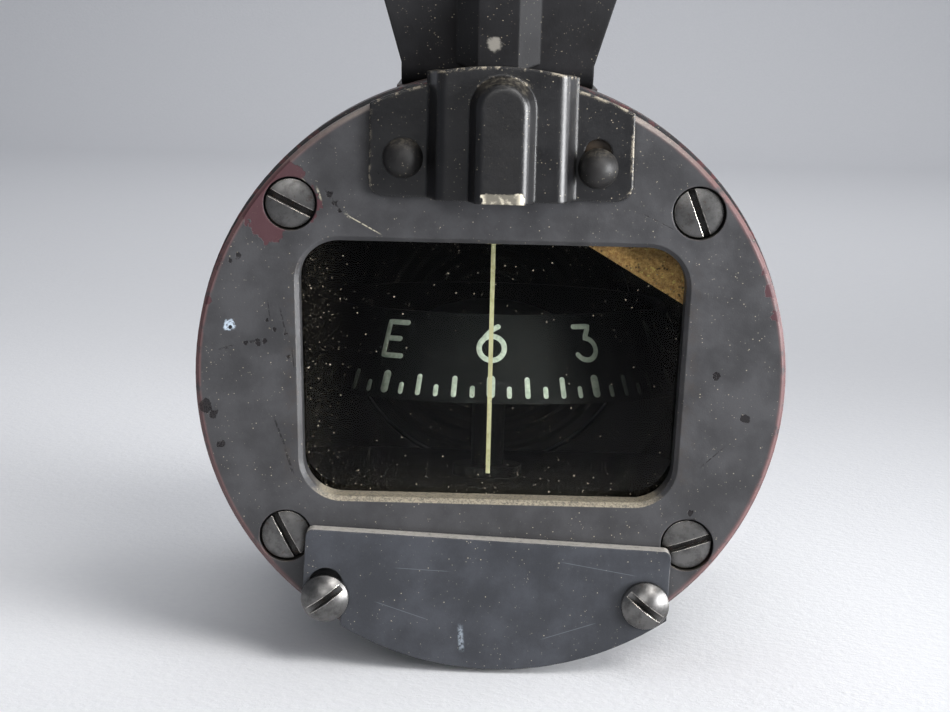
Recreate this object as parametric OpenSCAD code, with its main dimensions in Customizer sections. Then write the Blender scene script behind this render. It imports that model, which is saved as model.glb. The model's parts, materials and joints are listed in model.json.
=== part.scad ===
// Windshield compass: a liquid-filled card compass hung from a sheet-metal arm.
// Seen by the pilot, x runs right, y runs away and z runs up. The pieces are drawn about the
// centre of the face plate's front, and place() moves them so that the centre of the arm's
// foot, on the side that meets the windshield, is at the origin.

/* [Face] */
// Diameter of the face plate
face_d = 79.4; // [79:0.2:96]
// Thickness of the face plate
face_t = 5.5; // [5.5:0.1:7]
// Chamfer round the front edge of the face plate
face_chamfer = 0.5; // [0.2:0.1:1]
// Distance from the face plate's edge in to the corner screws' centres
screw_inset = 4.3; // [4.2:0.1:4.8]
// Angle of the corner screws above and below the horizontal
screw_angle = 39.7; // [37:0.1:43]
// Radius of the corner screws' heads
screw_head_r = 3.3; // [2.8:0.1:3.5]
// Height of the corner screws' heads
screw_head_h = 2.3; // [1.8:0.1:2.5]
// Radius of the corner screws' shanks
screw_shank_r = 1.7; // [1.2:0.05:1.8]

/* [Window] */
// How far the window's top corners lie inside the corner screws' centres, sideways
window_side_inset = 1.3; // [0.8:0.1:3]
// How far the window's top lies below the upper corner screws' centres
window_top_inset = 4.8; // [4.4:0.1:8]
// How far the window's bottom lies above the lower corner screws' centres
window_bottom_inset = 5.6; // [4.6:0.1:8]
// How much narrower the window is at the bottom, each side
window_taper = 0.9; // [0:0.1:2]
// Radius of the window's corners
window_corner_r = 5.3; // [4:0.1:7]
// Bevel round the window's front edge
window_bevel = 0.6; // [0.2:0.1:1]

/* [Lens] */
// Thickness of the lens
lens_t = 3; // [2:0.1:4]
// How far the lens reaches under the face plate, all round the window
lens_overlap = 2.2; // [1.6:0.1:2.4]
// Depth of the lens pocket in the back of the face plate
lens_pocket = 1.4; // [1:0.1:2]
// Thickness of the cork gasket behind the lens
cork_t = 0.8; // [0.5:0.1:1.5]
// Thickness of the gasket between the face plate and the case
face_gasket_t = 0.8; // [0.4:0.1:0.9]

/* [Case] */
// Length of the case from its front face to its rear face
case_length = 66.4; // [56:0.1:78]
// How far the case's flange stands out past the face plate
flange_lip = 0.5; // [0.3:0.1:1]
// Thickness of the case's flange
flange_t = 6.2; // [6:0.1:8]
// Step from the face plate's radius down to the drum's
drum_step = 2.7; // [2.4:0.1:3]
// Wall of the drum
wall = 2.6; // [2:0.1:3]
// Radius of the rounded shoulder at the rear of the drum
shoulder_r = 18; // [15:0.5:20]
// Radius of the port behind the bowl, which the diaphragm closes
port_r = 22; // [18:0.5:22.5]

/* [Card] */
// Gap between the bowl's wall and the sweep of the card's lower edge
card_gap = 3.7; // [3.7:0.1:6]
// Height of the card's band
card_h = 12; // [10:0.5:13]
// Height of the pivot above the card's lower edge
pivot_height = 5.3; // [4.5:0.1:6]
// Slope of the card's band from the vertical
card_slope = 23; // [15:1:28]
// Thickness of the card
card_t = 0.5; // [0.4:0.1:0.8]
// Depth of the bowl's floor below the pivot
floor_depth = 19.5; // [19:0.1:21]

/* [Compensator] */
// Module of the bevel gears
gear_module = 0.35; // [0.3:0.01:0.36]
// Teeth on a bevel pinion
pinion_teeth = 10; // [10:2:12]
// Teeth on a bevel wheel
wheel_teeth = 20; // [20:2:22]
// Clearance across each tooth space
backlash = 0.12; // [0.1:0.01:0.2]
// Distance of each spindle from the middle
spindle_x = 7; // [5.8:0.1:7.2]
// Depth of the spindles below the face's centre
spindle_depth = 27.6; // [27.4:0.1:28]
// Radius of a spindle's shaft
spindle_r = 0.8; // [0.6:0.05:0.9]

/* [Cover plate] */
// Width of the compensator cover plate
plate_w = 49.4; // [47:0.1:51]
// Thickness of the compensator cover plate
plate_t = 2.5; // [1.5:0.1:3.5]
// Distance from the middle to each of the plate's screws
plate_screw_x = 21.65; // [21:0.05:22]
// Distance of the plate's screws above the face plate's lowest point
plate_screw_rise = 9.3; // [8.5:0.1:9.5]
// How far the plate's lower edge reaches past the face plate's
plate_overhang = 1.1; // [0:0.1:1.4]
// How far the plate has slipped up at its free end
plate_slip = 2.3; // [0:0.1:4]

/* [Lamp cover] */
// Width of the lamp cover over its flanges
lamp_cover_w = 35; // [33:0.5:37]
// Sheet thickness of the lamp cover
lamp_sheet = 1; // [0.6:0.1:1.2]
// How far the lamp cover's raised part stands out from the face
lamp_rise = 6; // [5:0.1:8]
// How far the lamp's bump stands out from the face
bump_rise = 9.5; // [9.2:0.1:11]
// Distance of the lamp cover's lower edge above the window's top
lamp_gap = 6.2; // [5.5:0.1:7]
// Distance of the lamp cover's middle to the right of the face's centre
lamp_x = 0.7; // [-1:0.1:1]
// Distance between the middles of the lamp cover's studs
stud_pitch = 25.85; // [25.7:0.05:26.6]

/* [Arm] */
// Thickness of the arm's sheet
arm_t = 1.8; // [1.2:0.1:2.2]
// Width of the arm's base
arm_base_w = 26.4; // [25:0.2:32]
// Length of the arm's upright, measured along it
arm_length = 71; // [60:1:86]
// Width of the arm's foot
arm_foot_w = 43; // [38:1:50]
// Lean of the arm towards the pilot
arm_lean = 20; // [10:1:25]
// Diameter of the circle through the foot's holes
foot_pcd = 26; // [24:0.5:30]
// Radius of the foot's holes
foot_hole_r = 2.2; // [1.6:0.1:2.6]

/* [Hidden] */

// Clearance of a screw in its hole, of a turning shaft in its bore, and past a cut
screw_fit = 0.05;
shaft_fit = 0.05;
seat_fit = 0.1;
over = 0.5;

// Radii of the smaller screws' shanks
small_shank_r = 1.2;
plate_shank_r = 1.6;
arm_shank_r = 1.5;
stud_shank_r = 1.4;
lamp_shank_r = 0.9;
line_shank_r = 0.8;

face_r = face_d / 2;
screw_r = face_r - screw_inset;
screw_x = screw_r * cos(screw_angle);
screw_z = screw_r * sin(screw_angle);
screw_sink = 0.25;
CORNER_SCREWS = [[-1, 1, -26], [1, 1, -69], [-1, -1, -61], [1, -1, 18]];

window_half = screw_x - window_side_inset;
window_top = screw_z - window_top_inset;
window_bottom = -(screw_z - window_bottom_inset);

lens_front = face_t - lens_pocket;
lens_back = lens_front + lens_t;
case_front = face_t + face_gasket_t;
cork_back = lens_back + cork_t;
flange_back = case_front + flange_t;
flange_r = face_r + flange_lip;
screw_tip = flange_back - 0.7;

drum_r = face_r - drum_step;
bowl_r = drum_r - wall;
case_back = case_front + case_length;
mouth_back = flange_back + 1;
mouth_margin = 0.7;
rear_wall = 5;
rear_r = port_r + 7;
shoulder_y = case_back
    - sqrt(pow(shoulder_r, 2) - pow(shoulder_r - (drum_r - rear_r), 2));

line_y = cork_back + 0.8;
line_t = 0.4;
line_gap = 0.9;
line_screw_y = cork_back + 3.4;
wave_h = 0.6;
wave_gap = 0.8;
sweep_front = line_y + line_t + line_gap;
sweep_back = case_back - wave_h - wave_gap;
card_sweep = min(bowl_r - card_gap, (sweep_back - sweep_front) / 2);
card_r = sqrt(pow(card_sweep, 2) - pow(pivot_height, 2));
pivot_y = sweep_front + card_sweep;
card_bottom = -pivot_height;
card_top = card_bottom + card_h;
card_top_r = card_r - card_h * tan(card_slope);

pad_top = drum_r + 1;
pad_front = flange_back + 1.5;
pad_length = 24;
boss_t = 3.9;
boss_bottom = bowl_r - boss_t;
boss_half = 13.5;
plug_y = pad_front + pad_length + 12;
plug_r = 3;
ARM_SCREWS = [for (x = [-8, 8], y = [6, 19]) [x, pad_front + y]];

rear_screw_r = port_r + 3.3;
rear_screws = 6;
diaphragm_t = 0.4;
ring_t = 1;
rear_flange_t = 2;
rear_cover_depth = 6;

plate_screw_z = -(face_r - plate_screw_rise);
plate_top_rise = 7.5;
notch_r = 2.3;

lamp_bottom = window_top + lamp_gap;
stud_mid = lamp_x - 0.12;
left_stud_rise = 5.1;
right_stud_rise = 4.3;
STUDS = [
    [stud_mid - stud_pitch / 2, lamp_bottom + left_stud_rise],
    [stud_mid + stud_pitch / 2, lamp_bottom + right_stud_rise]
];
flange_top_r = face_r + 0.3;
hat_top_r = face_r + 1.9;
hat_half = 10;
hat_lean = 1.2;
bump_half = 4;
bump_top_half = 2.4;
bump_drop = 5.5;
bump_z = hat_top_r - bump_drop;
lead_notch_r = drum_r + 0.3;
sleeve_space = 3.6;
lamp_axis = bump_rise - lamp_sheet - sleeve_space;

// Bevel gears: the pitch cones share their apex on the wheels' axle, level with the spindle.
cone_r = gear_module * norm([pinion_teeth, wheel_teeth]) / 2;
wheel_cone = atan(wheel_teeth / pinion_teeth);
pinion_cone = 90 - wheel_cone;
pinion_heel = cone_r * cos(pinion_cone);
face_share = 0.69;
pressure_angle = 20;
wheel_addendum = 0.6 * gear_module;
pinion_addendum = 0.85 * gear_module;
root_gap = 0.25 * gear_module;
compensator_z = -spindle_depth;
axle_y = case_front + 13.7;
axle_r = 0.7;
degrees = 180 / PI;
wheel_root = wheel_cone - (pinion_addendum + root_gap) / cone_r * degrees;
wheel_rim = cone_r + 0.1;
wheel_back = wheel_rim / tan(wheel_root);
toe_r = face_share * cone_r * sin(wheel_root);
toe_z = face_share * cone_r * cos(wheel_root);
disc_top = wheel_back + 0.4;
magnet_top = disc_top + 1.1;
plate_gap = 0.1;
frame_wall = 0.8;
frame_in = magnet_top + plate_gap;
frame_out = frame_in + frame_wall;
frame_half = spindle_x + 4.3;
frame_front = case_front + 3.2;
frame_front_t = 1.5;
frame_back = axle_y + 6;
wing_half = frame_half + 7.2;
wing_screw_x = frame_half + 4.2;
chamber_top = compensator_z + frame_out + 0.2;
wing_depth = 6.6;
wing_screw_z = chamber_top - 3.3;
SPINDLES = [-spindle_x, spindle_x];

// The arm's bend and the centre of its foot, on the side that meets the windshield
bend_in = 2.5;
bend_y = pad_front + 3;
bend_z = pad_top + arm_t + bend_in;
upright_y = bend_y - bend_in * cos(arm_lean);
upright_z = bend_z - bend_in * sin(arm_lean);
foot_corner_r = 12;
foot_centre = arm_length - 19;
origin_y = upright_y - foot_centre * sin(arm_lean);
origin_z = upright_z + foot_centre * cos(arm_lean);

// Moves a piece from the face's frame to the foot's.
module place()
{
    translate([0, -origin_y, -origin_z])
        children();
}

// A flat shape in x and z, standing between two depths.
module slab(front, back)
{
    translate([0, back, 0])
        rotate([90, 0, 0])
            linear_extrude(back - front)
                children();
}

// A round bar or, with two radii, a cone, running from front to back.
module bar(x, z, front, back, r, back_r = -1)
{
    translate([x, back, z])
        rotate([90, 0, 0])
            cylinder(h = back - front, r1 = back_r < 0 ? r : back_r, r2 = r);
}

// A shape in radius and depth, turned about the line through the face's centre.
module turned()
{
    rotate([-90, 0, 0])
        rotate_extrude()
            children();
}

// Direction of the line that touches two circles on their right-hand side.
function touch(a, b) =
    atan2(b[1] - a[1], b[0] - a[0])
    - acos((a[2] - b[2]) / norm([b[0] - a[0], b[1] - a[1]]));

// A point on a circle [x, y, r].
function on(c, angle) = [c[0] + c[2] * cos(angle), c[1] + c[2] * sin(angle)];

function next(list, i) = list[(i + 1) % len(list)];

// The outline of a belt round circles [x, y, r], listed anticlockwise, with each bend in
// short straight steps. A corner has no r.
module belt(circles, steps = 12)
{
    count = len(circles);
    polygon([
        for (i = [0:count - 1])
            let (
                c = circles[i],
                start = touch(circles[(i + count - 1) % count], c),
                sweep = (touch(c, next(circles, i)) - start + 720) % 360
            )
                for (k = [0:c[2] > 0 ? steps : 0])
                    on(c, start + sweep * k / steps)
    ]);
}

// The bevel cut round the window's front edge.
module window_bevel_cut()
{
    lip = 0.2;
    hull()
    {
        slab(-lip - 0.01, -lip)
            belt(window_belt(window_bevel + lip));
        slab(window_bevel + lip, window_bevel + lip + 0.01)
            belt(window_belt(-lip));
    }
}

// The window's outline, grown outwards.
function window_belt(grow = 0) =
    let (
        r = window_corner_r,
        low = window_half - window_taper - r,
        high = window_half - r
    )
    [
        [-low, window_bottom + r, r + grow],
        [low, window_bottom + r, r + grow],
        [high, window_top - r, r + grow],
        [-high, window_top - r, r + grow]
    ];

// A slotted screw that points away from the pilot. Its head is a disc with a domed top.
module slotted_screw(x, z, top, head_r, head_h, dome, shank_r, tip, slot_angle)
{
    ball_r = (pow(head_r, 2) + pow(dome, 2)) / (2 * dome);
    difference()
    {
        union()
        {
            intersection()
            {
                bar(x, z, top - over, top + head_h, head_r);
                translate([x, top + ball_r, z])
                    sphere(ball_r, $fn = 96);
            }
            bar(x, z, top + head_h - over, tip, shank_r);
        }
        translate([x, top, z])
            rotate([0, -slot_angle, 0])
                cube([3 * head_r, 2 * min(1, head_h / 2), 0.28 * head_r], center = true);
    }
}

module case_body()
{
    difference()
    {
        union()
        {
            turned()
            {
                translate([0, case_front])
                    square([flange_r, flange_t]);
                translate([0, case_front])
                    square([drum_r, shoulder_y - case_front]);
                intersection()
                {
                    union()
                    {
                        translate([0, shoulder_y - over])
                            square([drum_r - shoulder_r, shoulder_r]);
                        translate([drum_r - shoulder_r, shoulder_y])
                            circle(shoulder_r);
                    }
                    translate([0, shoulder_y - over])
                        square([drum_r, case_back - shoulder_y + over]);
                }
            }
            arm_pad();
            translate([0, plug_y, 0])
                cylinder(h = pad_top + 0.4, r = 6);
        }
        case_bowl();
        slab(case_front - over, cork_back)
            belt(window_belt(lens_overlap + seat_fit));
        slab(cork_back - over, mouth_back + over)
            belt(window_belt(mouth_margin));
        bar(0, 0, case_back - rear_wall - over, case_back + over, port_r);
        case_chamber();
        case_holes();
    }
}

// The pad that the arm stands on.
module arm_pad()
{
    intersection()
    {
        translate([-arm_base_w / 2 - 0.6, pad_front, 0])
            cube([arm_base_w + 1.2, pad_length, pad_top]);
        bar(0, 0, pad_front - over, pad_front + pad_length + over, drum_r + 6);
    }
}

// The room for the fluid: a drum with a flat floor, and solid metal under the pad and plug.
module case_bowl()
{
    inner_r = shoulder_r - wall;
    centre = drum_r - shoulder_r;
    difference()
    {
        turned()
        {
            translate([0, mouth_back])
                square([bowl_r, shoulder_y - mouth_back]);
            intersection()
            {
                union()
                {
                    translate([0, shoulder_y - over])
                        square([centre, shoulder_r]);
                    translate([centre, shoulder_y])
                        circle(inner_r);
                }
                translate([0, shoulder_y - over])
                    square([drum_r, case_back - rear_wall - shoulder_y + over]);
            }
        }
        translate([-drum_r, 0, -drum_r - floor_depth])
            cube([2 * drum_r, 2 * case_length, drum_r]);
        translate([-boss_half, 0, boss_bottom])
            cube([2 * boss_half, plug_y + 7, drum_r]);
        difference()
        {
            bar(0, 0, case_front, mouth_back + 1.5, drum_r);
            slab(0, case_length)
                belt(window_belt(mouth_margin));
        }
    }
}

// The compensator's chamber below the bowl, open to the front.
module case_chamber()
{
    intersection()
    {
        union()
        {
            translate([-frame_half - 0.7, 0, -face_r])
                cube([2 * frame_half + 1.4, frame_back + 2, face_r + chamber_top]);
            translate([-wing_half - 0.5, 0, chamber_top - wing_depth])
                cube([2 * wing_half + 1, frame_front + frame_front_t, wing_depth]);
        }
        bar(0, 0, case_front - over, case_length, drum_r - 2);
    }
}

module case_holes()
{
    for (s = CORNER_SCREWS)
        bar(s[0] * screw_x, s[1] * screw_z, case_front - over, screw_tip + 0.2,
            screw_shank_r + screw_fit);
    for (s = ARM_SCREWS)
        translate([s[0], s[1], pad_top - 5.4])
            cylinder(h = 6, r = arm_shank_r + screw_fit);
    for (i = [1:rear_screws])
        rotate([0, i * 360 / rear_screws, 0])
            bar(rear_screw_r, 0, case_back - 4, case_back + over, small_shank_r + screw_fit);
    translate([0, plug_y, boss_bottom - over])
        cylinder(h = drum_r, r = plug_r + screw_fit);
    for (x = [-wing_screw_x, wing_screw_x])
        bar(x, wing_screw_z, frame_front, frame_front + 8, small_shank_r + screw_fit);
    bar(plate_screw_x, plate_screw_z, case_front - over, case_front + 3.2, plate_shank_r + screw_fit);
    bar(-plate_screw_x, plate_screw_z, case_front - over, case_front + 3.2, plate_shank_r + screw_fit);
    translate([0, pivot_y, -floor_depth - 2.2])
        cylinder(h = 3, r = 2 + screw_fit);
    translate([0, line_screw_y, window_top])
        cylinder(h = 4, r = line_shank_r + screw_fit);
    lead_notch();
}

// The slot at the top of the rim that lets the lamp's lead through.
module lead_notch()
{
    translate([lamp_x - 1.5, -over, lead_notch_r])
        cube([3, flange_back + 2 * over, 10]);
}

module case()
{
    color("#26282b")
        place()
            case_body();
}

module face_plate()
{
    color("#34373b")
        place()
            difference()
            {
                turned()
                    polygon([
                        [0, 0], [face_r - face_chamfer, 0], [face_r, face_chamfer],
                        [face_r, face_t], [0, face_t]
                    ]);
                slab(-over, face_t + over)
                    belt(window_belt());
                window_bevel_cut();
                slab(lens_front, face_t + over)
                    belt(window_belt(lens_overlap + seat_fit));
                for (s = CORNER_SCREWS)
                {
                    bar(s[0] * screw_x, s[1] * screw_z, -over, screw_sink + screw_head_h,
                        screw_head_r + 0.3);
                    bar(s[0] * screw_x, s[1] * screw_z, 0, face_t + over,
                        screw_shank_r + screw_fit);
                }
                for (x = SPINDLES)
                    bar(x, compensator_z, -over, face_t + over, 2.2);
                for (x = [-plate_screw_x, plate_screw_x])
                    bar(x, plate_screw_z, -over, face_t + over, plate_shank_r + screw_fit);
                for (s = STUDS)
                    bar(s[0], s[1], -over, 4.4, stud_shank_r + screw_fit);
                bar(lamp_x, lamp_bottom + 3, -over, 4, lamp_shank_r + screw_fit);
                lead_notch();
            }
}

module face_gasket()
{
    color("#1b1a1a")
        place()
            difference()
            {
                bar(0, 0, face_t, case_front, face_r);
                slab(0, case_front + over)
                    belt(window_belt(lens_overlap + 0.3));
                for (s = CORNER_SCREWS)
                    bar(s[0] * screw_x, s[1] * screw_z, 0, case_front + over,
                        screw_shank_r + 0.2);
                for (x = SPINDLES)
                    bar(x, compensator_z, 0, case_front + over, 3);
                for (x = [-plate_screw_x, plate_screw_x])
                    bar(x, plate_screw_z, 0, case_front + over, 1.8);
                lead_notch();
            }
}

module face_screws()
{
    color("#4a4a4b")
        place()
            for (s = CORNER_SCREWS)
                slotted_screw(s[0] * screw_x, s[1] * screw_z, screw_sink, screw_head_r,
                    screw_head_h, 0.35, screw_shank_r, screw_tip, s[2]);
}

module lens()
{
    color("#aebfc4", 0.35)
        place()
            slab(lens_front, lens_back)
                belt(window_belt(lens_overlap));
}

// The cork has slipped and creased, so its opening is cut across at the upper right.
module lens_gasket()
{
    crease_a = [window_half - 19.2, window_top + 3];
    crease_b = [window_half + 3, window_top - 10];
    color("#9a7d50")
        place()
            slab(lens_back, cork_back)
                difference()
                {
                    belt(window_belt(lens_overlap));
                    difference()
                    {
                        belt(window_belt(mouth_margin));
                        polygon([crease_a, crease_b, [crease_b[0], crease_a[1]]]);
                    }
                }
}

module lubber_line()
{
    line_w = 0.6;
    line_bottom = window_bottom + 2.2;
    foot_z = window_top + mouth_margin - 0.8;
    color("#d9cf95")
        place()
            difference()
            {
                union()
                {
                    translate([-line_w / 2, line_y, line_bottom])
                        cube([line_w, line_t, foot_z + 0.8 - line_bottom]);
                    translate([-2, line_y, foot_z])
                        cube([4, 4.2, 0.8]);
                }
                translate([0, line_screw_y, foot_z - over])
                    cylinder(h = 2, r = line_shank_r + screw_fit);
            }
}

module lubber_screw()
{
    seat = window_top + mouth_margin - 0.8;
    color("#b08d4a")
        place()
            translate([0, line_screw_y, seat])
                difference()
                {
                    union()
                    {
                        translate([0, 0, -0.8])
                            cylinder(h = 0.8, r = 1.4);
                        cylinder(h = 3.8, r = line_shank_r);
                    }
                    translate([0, 0, -0.8])
                        cube([4, 0.4, 0.7], center = true);
                }
}

web_z = card_bottom + 0.7;
hub_r = 10.5;
float_r = 12;
jewel_r = 1.2;
cup_r = 2.2;
tip_r = 0.6;
magnet_x = 7;
magnet_w = 2.2;
magnet_length = 24;
cup_h = 2.4;

// A thin cone with a spoked web, which the float and the magnets are fixed to.
module compass_card()
{
    color("#1d2023")
        place()
            translate([0, pivot_y, 0])
            {
                rotate_extrude()
                    polygon([
                        [card_r, card_bottom], [card_top_r, card_top],
                        [card_top_r - card_t, card_top], [card_r - card_t, card_bottom]
                    ]);
                difference()
                {
                    union()
                    {
                        translate([0, 0, web_z])
                            cylinder(h = card_t, r = hub_r);
                        for (i = [0:5])
                            rotate([0, 0, 60 * i + 30])
                                translate([hub_r - 1, -1.5, web_z])
                                    cube([card_r - hub_r + 0.35, 3, card_t]);
                    }
                    translate([0, 0, web_z - over])
                        cylinder(h = 2, r = 5.5);
                    rivet_holes(web_z - over, 2);
                }
            }
}

module rivet_holes(bottom, height, r = 0.55)
{
    for (x = [-magnet_x, magnet_x], y = [-5, 5])
        translate([x, y, bottom])
            cylinder(h = height, r = r);
}

// The float is a domed drum with a wide cone in its underside that clears the post.
module card_float()
{
    float_bottom = web_z + card_t;
    cup_bottom = -tip_r;
    color("#6e6a5e")
        place()
            translate([0, pivot_y, 0])
                difference()
                {
                    intersection()
                    {
                        translate([0, 0, float_bottom])
                            cylinder(h = 11, r = float_r);
                        translate([0, 0, -14])
                            sphere(20.5, $fn = 96);
                    }
                    translate([0, 0, float_bottom - over])
                        cylinder(h = cup_bottom - float_bottom + over, r1 = 8, r2 = cup_r);
                    translate([0, 0, cup_bottom - over])
                        cylinder(h = cup_h + over, r = cup_r + 0.02);
                    rivet_holes(float_bottom - over, 1.2, 1.1);
                }
}

module card_magnets()
{
    color("#3c3d40")
        place()
            translate([0, pivot_y, 0])
                difference()
                {
                    for (x = [-magnet_x, magnet_x])
                        translate([x - magnet_w / 2, -magnet_length / 2, web_z - magnet_w])
                            cube([magnet_w, magnet_length, magnet_w]);
                    rivet_holes(web_z - 2 * magnet_w, 3 * magnet_w);
                }
}

module magnet_rivets()
{
    color("#b5965a")
        place()
            translate([0, pivot_y, 0])
                for (x = [-magnet_x, magnet_x], y = [-5, 5])
                    translate([x, y, 0])
                    {
                        translate([0, 0, web_z - magnet_w - 0.3])
                            cylinder(h = magnet_w + card_t + 0.6, r = 0.5);
                        translate([0, 0, web_z - magnet_w - 0.4])
                            cylinder(h = 0.4, r = 0.9);
                        translate([0, 0, web_z + card_t])
                            cylinder(h = 0.4, r = 0.9);
                    }
}

module jewel_cup()
{
    color("#b8974f")
        place()
            translate([0, pivot_y, -tip_r])
                difference()
                {
                    cylinder(h = cup_h, r = cup_r);
                    translate([0, 0, -over])
                        cylinder(h = cup_h - 0.6 + over, r = jewel_r + 0.05);
                }
}

// The jewel's dimple is centred on the pivot, as is the tip's ball.
module pivot_jewel()
{
    color("#8d2438")
        place()
            translate([0, pivot_y, 0])
                difference()
                {
                    translate([0, 0, -tip_r + 0.05])
                        cylinder(h = cup_h - 0.7, r = jewel_r);
                    sphere(tip_r + 0.06, $fn = 48);
                    translate([0, 0, -tip_r - over])
                        cylinder(h = tip_r + over, r1 = jewel_r + 0.3, r2 = tip_r);
                }
}

module pivot_tip()
{
    color("#c9ccd0")
        place()
            translate([0, pivot_y, 0])
                sphere(tip_r, $fn = 48);
}

// Levels of the pivot's sprung pin, measured from the pivot
pin_r = 0.7;
piston_top = -9.5;
piston_h = 1.5;
piston_r = 1.25;
post_r = 2.4;
post_top = -6;
well_bottom = -floor_depth + 2;
collar_r = 1.3;

module pivot_pin()
{
    neck = 0.42;
    color("#a9acb1")
        place()
            translate([0, pivot_y, 0])
                difference()
                {
                    union()
                    {
                        translate([0, 0, -1.5])
                            cylinder(h = 1.1, r1 = pin_r, r2 = neck);
                        translate([0, 0, piston_top - over])
                            cylinder(h = -piston_top + over - 1.5, r = pin_r);
                        translate([0, 0, piston_top - piston_h])
                            cylinder(h = piston_h, r = piston_r);
                    }
                    sphere(tip_r + 0.05, $fn = 48);
                }
}

spring_wire = 0.15;
spring_turns = 6;
spring_low = well_bottom + spring_wire + 0.02;
spring_high = piston_top - piston_h - spring_wire - 0.02;
spring_steps = 12;

// A ring of the spring's wire at a share of its length.
function spring_ring(t) =
    let (a = 360 * spring_turns * t, r = 1)
    [
        for (k = [0:5])
            let (c = r + spring_wire * cos(60 * k))
                [
                    c * cos(a), c * sin(a),
                    spring_low + (spring_high - spring_low) * t + spring_wire * sin(60 * k)
                ]
    ];

module pivot_spring()
{
    rings = spring_turns * spring_steps;
    points = [for (i = [0:rings]) each spring_ring(i / rings)];
    sides = [
        for (i = [0:rings - 1], k = [0:5])
            let (a = 6 * i + k, b = 6 * i + (k + 1) % 6)
                each [[a, b, b + 6], [a, b + 6, a + 6]]
    ];
    ends = [
        for (k = [1:4])
            each [[0, k + 1, k], [6 * rings, 6 * rings + k, 6 * rings + k + 1]]
    ];
    color("#8d8f93")
        place()
            translate([0, pivot_y, 0])
                polyhedron(points, concat(sides, ends), convexity = 10);
}

module pivot_collar()
{
    color("#c0a05a")
        place()
            translate([0, pivot_y, 0])
                difference()
                {
                    union()
                    {
                        translate([0, 0, piston_top + 0.05])
                            cylinder(h = post_top - piston_top, r = collar_r);
                        translate([0, 0, post_top])
                            cylinder(h = 0.8, r = post_r);
                    }
                    translate([0, 0, piston_top - over])
                        cylinder(h = 6, r = pin_r + shaft_fit);
                }
}

module pivot_post()
{
    color("#b08d4a")
        place()
            translate([0, pivot_y, 0])
                difference()
                {
                    union()
                    {
                        translate([0, 0, -floor_depth])
                            cylinder(h = post_top + floor_depth, r = post_r);
                        translate([0, 0, -floor_depth])
                            cylinder(h = 1.6, r = 5);
                        translate([0, 0, -floor_depth - 2])
                            cylinder(h = 2.5, r = 2);
                    }
                    translate([0, 0, well_bottom])
                        cylinder(h = floor_depth, r = collar_r + 0.03);
                }
}

// A thin disc with rings pressed into it, so that it can give as the fluid swells.
module diaphragm()
{
    waves = 4;
    first = 5;
    last = port_r - 1.5;
    steps = waves * 6;
    wave = [
        for (i = [0:steps])
            [first + (last - first) * i / steps, wave_h * sin(360 * waves * i / steps)]
    ];
    edge = [[0, 0], each wave, [rear_screw_r + 2.7, 0]];
    color("#a8884c")
        place()
            difference()
            {
                turned()
                    translate([0, case_back])
                        polygon([
                            each edge,
                            for (i = [len(edge) - 1:-1:0]) edge[i] + [0, diaphragm_t]
                        ]);
                rear_screw_holes(small_shank_r + screw_fit);
            }
}

module rear_screw_holes(r)
{
    for (i = [1:rear_screws])
        rotate([0, i * 360 / rear_screws, 0])
            bar(rear_screw_r, 0, case_back - 1, case_back + 8, r);
}

module diaphragm_ring()
{
    ring_front = case_back + diaphragm_t;
    color("#8a7440")
        place()
            difference()
            {
                bar(0, 0, ring_front, ring_front + ring_t, rear_screw_r + 2.7);
                bar(0, 0, ring_front - over, ring_front + ring_t + over, port_r);
                rear_screw_holes(small_shank_r + screw_fit);
            }
}

cover_front = case_back + diaphragm_t + ring_t;

module rear_cover()
{
    color("#2b2d30")
        place()
            difference()
            {
                union()
                {
                    bar(0, 0, cover_front, cover_front + rear_flange_t, rear_r - 0.5);
                    bar(0, 0, cover_front + 1, cover_front + rear_flange_t + rear_cover_depth,
                        port_r, port_r - 2);
                }
                bar(0, 0, cover_front - over, cover_front + rear_flange_t
                    + rear_cover_depth - 1.5, port_r - 1, port_r - 3.4);
                bar(0, 0, cover_front, cover_front + 20, 1);
                rear_screw_holes(small_shank_r + screw_fit);
            }
}

module rear_cover_screws()
{
    head_top = cover_front + rear_flange_t + 1.8;
    color("#55575a")
        place()
            for (i = [1:rear_screws])
                rotate([0, i * 360 / rear_screws, 0])
                    translate([rear_screw_r, 0, 0])
                        rotate([0, 0, 180])
                            translate([0, -2 * head_top, 0])
                                slotted_screw(0, 0, head_top, 2.3, 1.8, 0.8, small_shank_r,
                                    2 * head_top - case_back + 3.6, 37 * i);
}

plug_seat = pad_top + 0.4;
washer_t = 0.8;

module filler_plug()
{
    head_h = 2.6;
    color("#3a3c3f")
        place()
            translate([0, plug_y, plug_seat + washer_t])
                difference()
                {
                    union()
                    {
                        cylinder(h = head_h, r = 4.2);
                        translate([0, 0, -6.5])
                            cylinder(h = 7, r = plug_r);
                    }
                    translate([0, 0, head_h])
                        cube([10, 1.2, 2.4], center = true);
                }
}

module filler_washer()
{
    color("#7a3b26")
        place()
            translate([0, plug_y, plug_seat])
                difference()
                {
                    cylinder(h = washer_t, r = 4.8);
                    translate([0, 0, -over])
                        cylinder(h = 2, r = plug_r + 0.15);
                }
}

// Half the thickness angle of a tooth at a height above the pitch cone, seen on the back
// cone as an involute of as many teeth as its full circle would hold.
function involute(angle) = tan(angle) * degrees - angle;
function tooth_half(teeth, cone, h) =
    let (
        pitch_r = gear_module * teeth / cos(cone) / 2,
        base_r = pitch_r * cos(pressure_angle),
        r = pitch_r + h,
        lead = involute(pressure_angle) - (r > base_r ? involute(acos(base_r / r)) : 0),
        full = 90 / (teeth / cos(cone)) + lead
    )
    r * full / degrees - backlash / 4;

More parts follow.
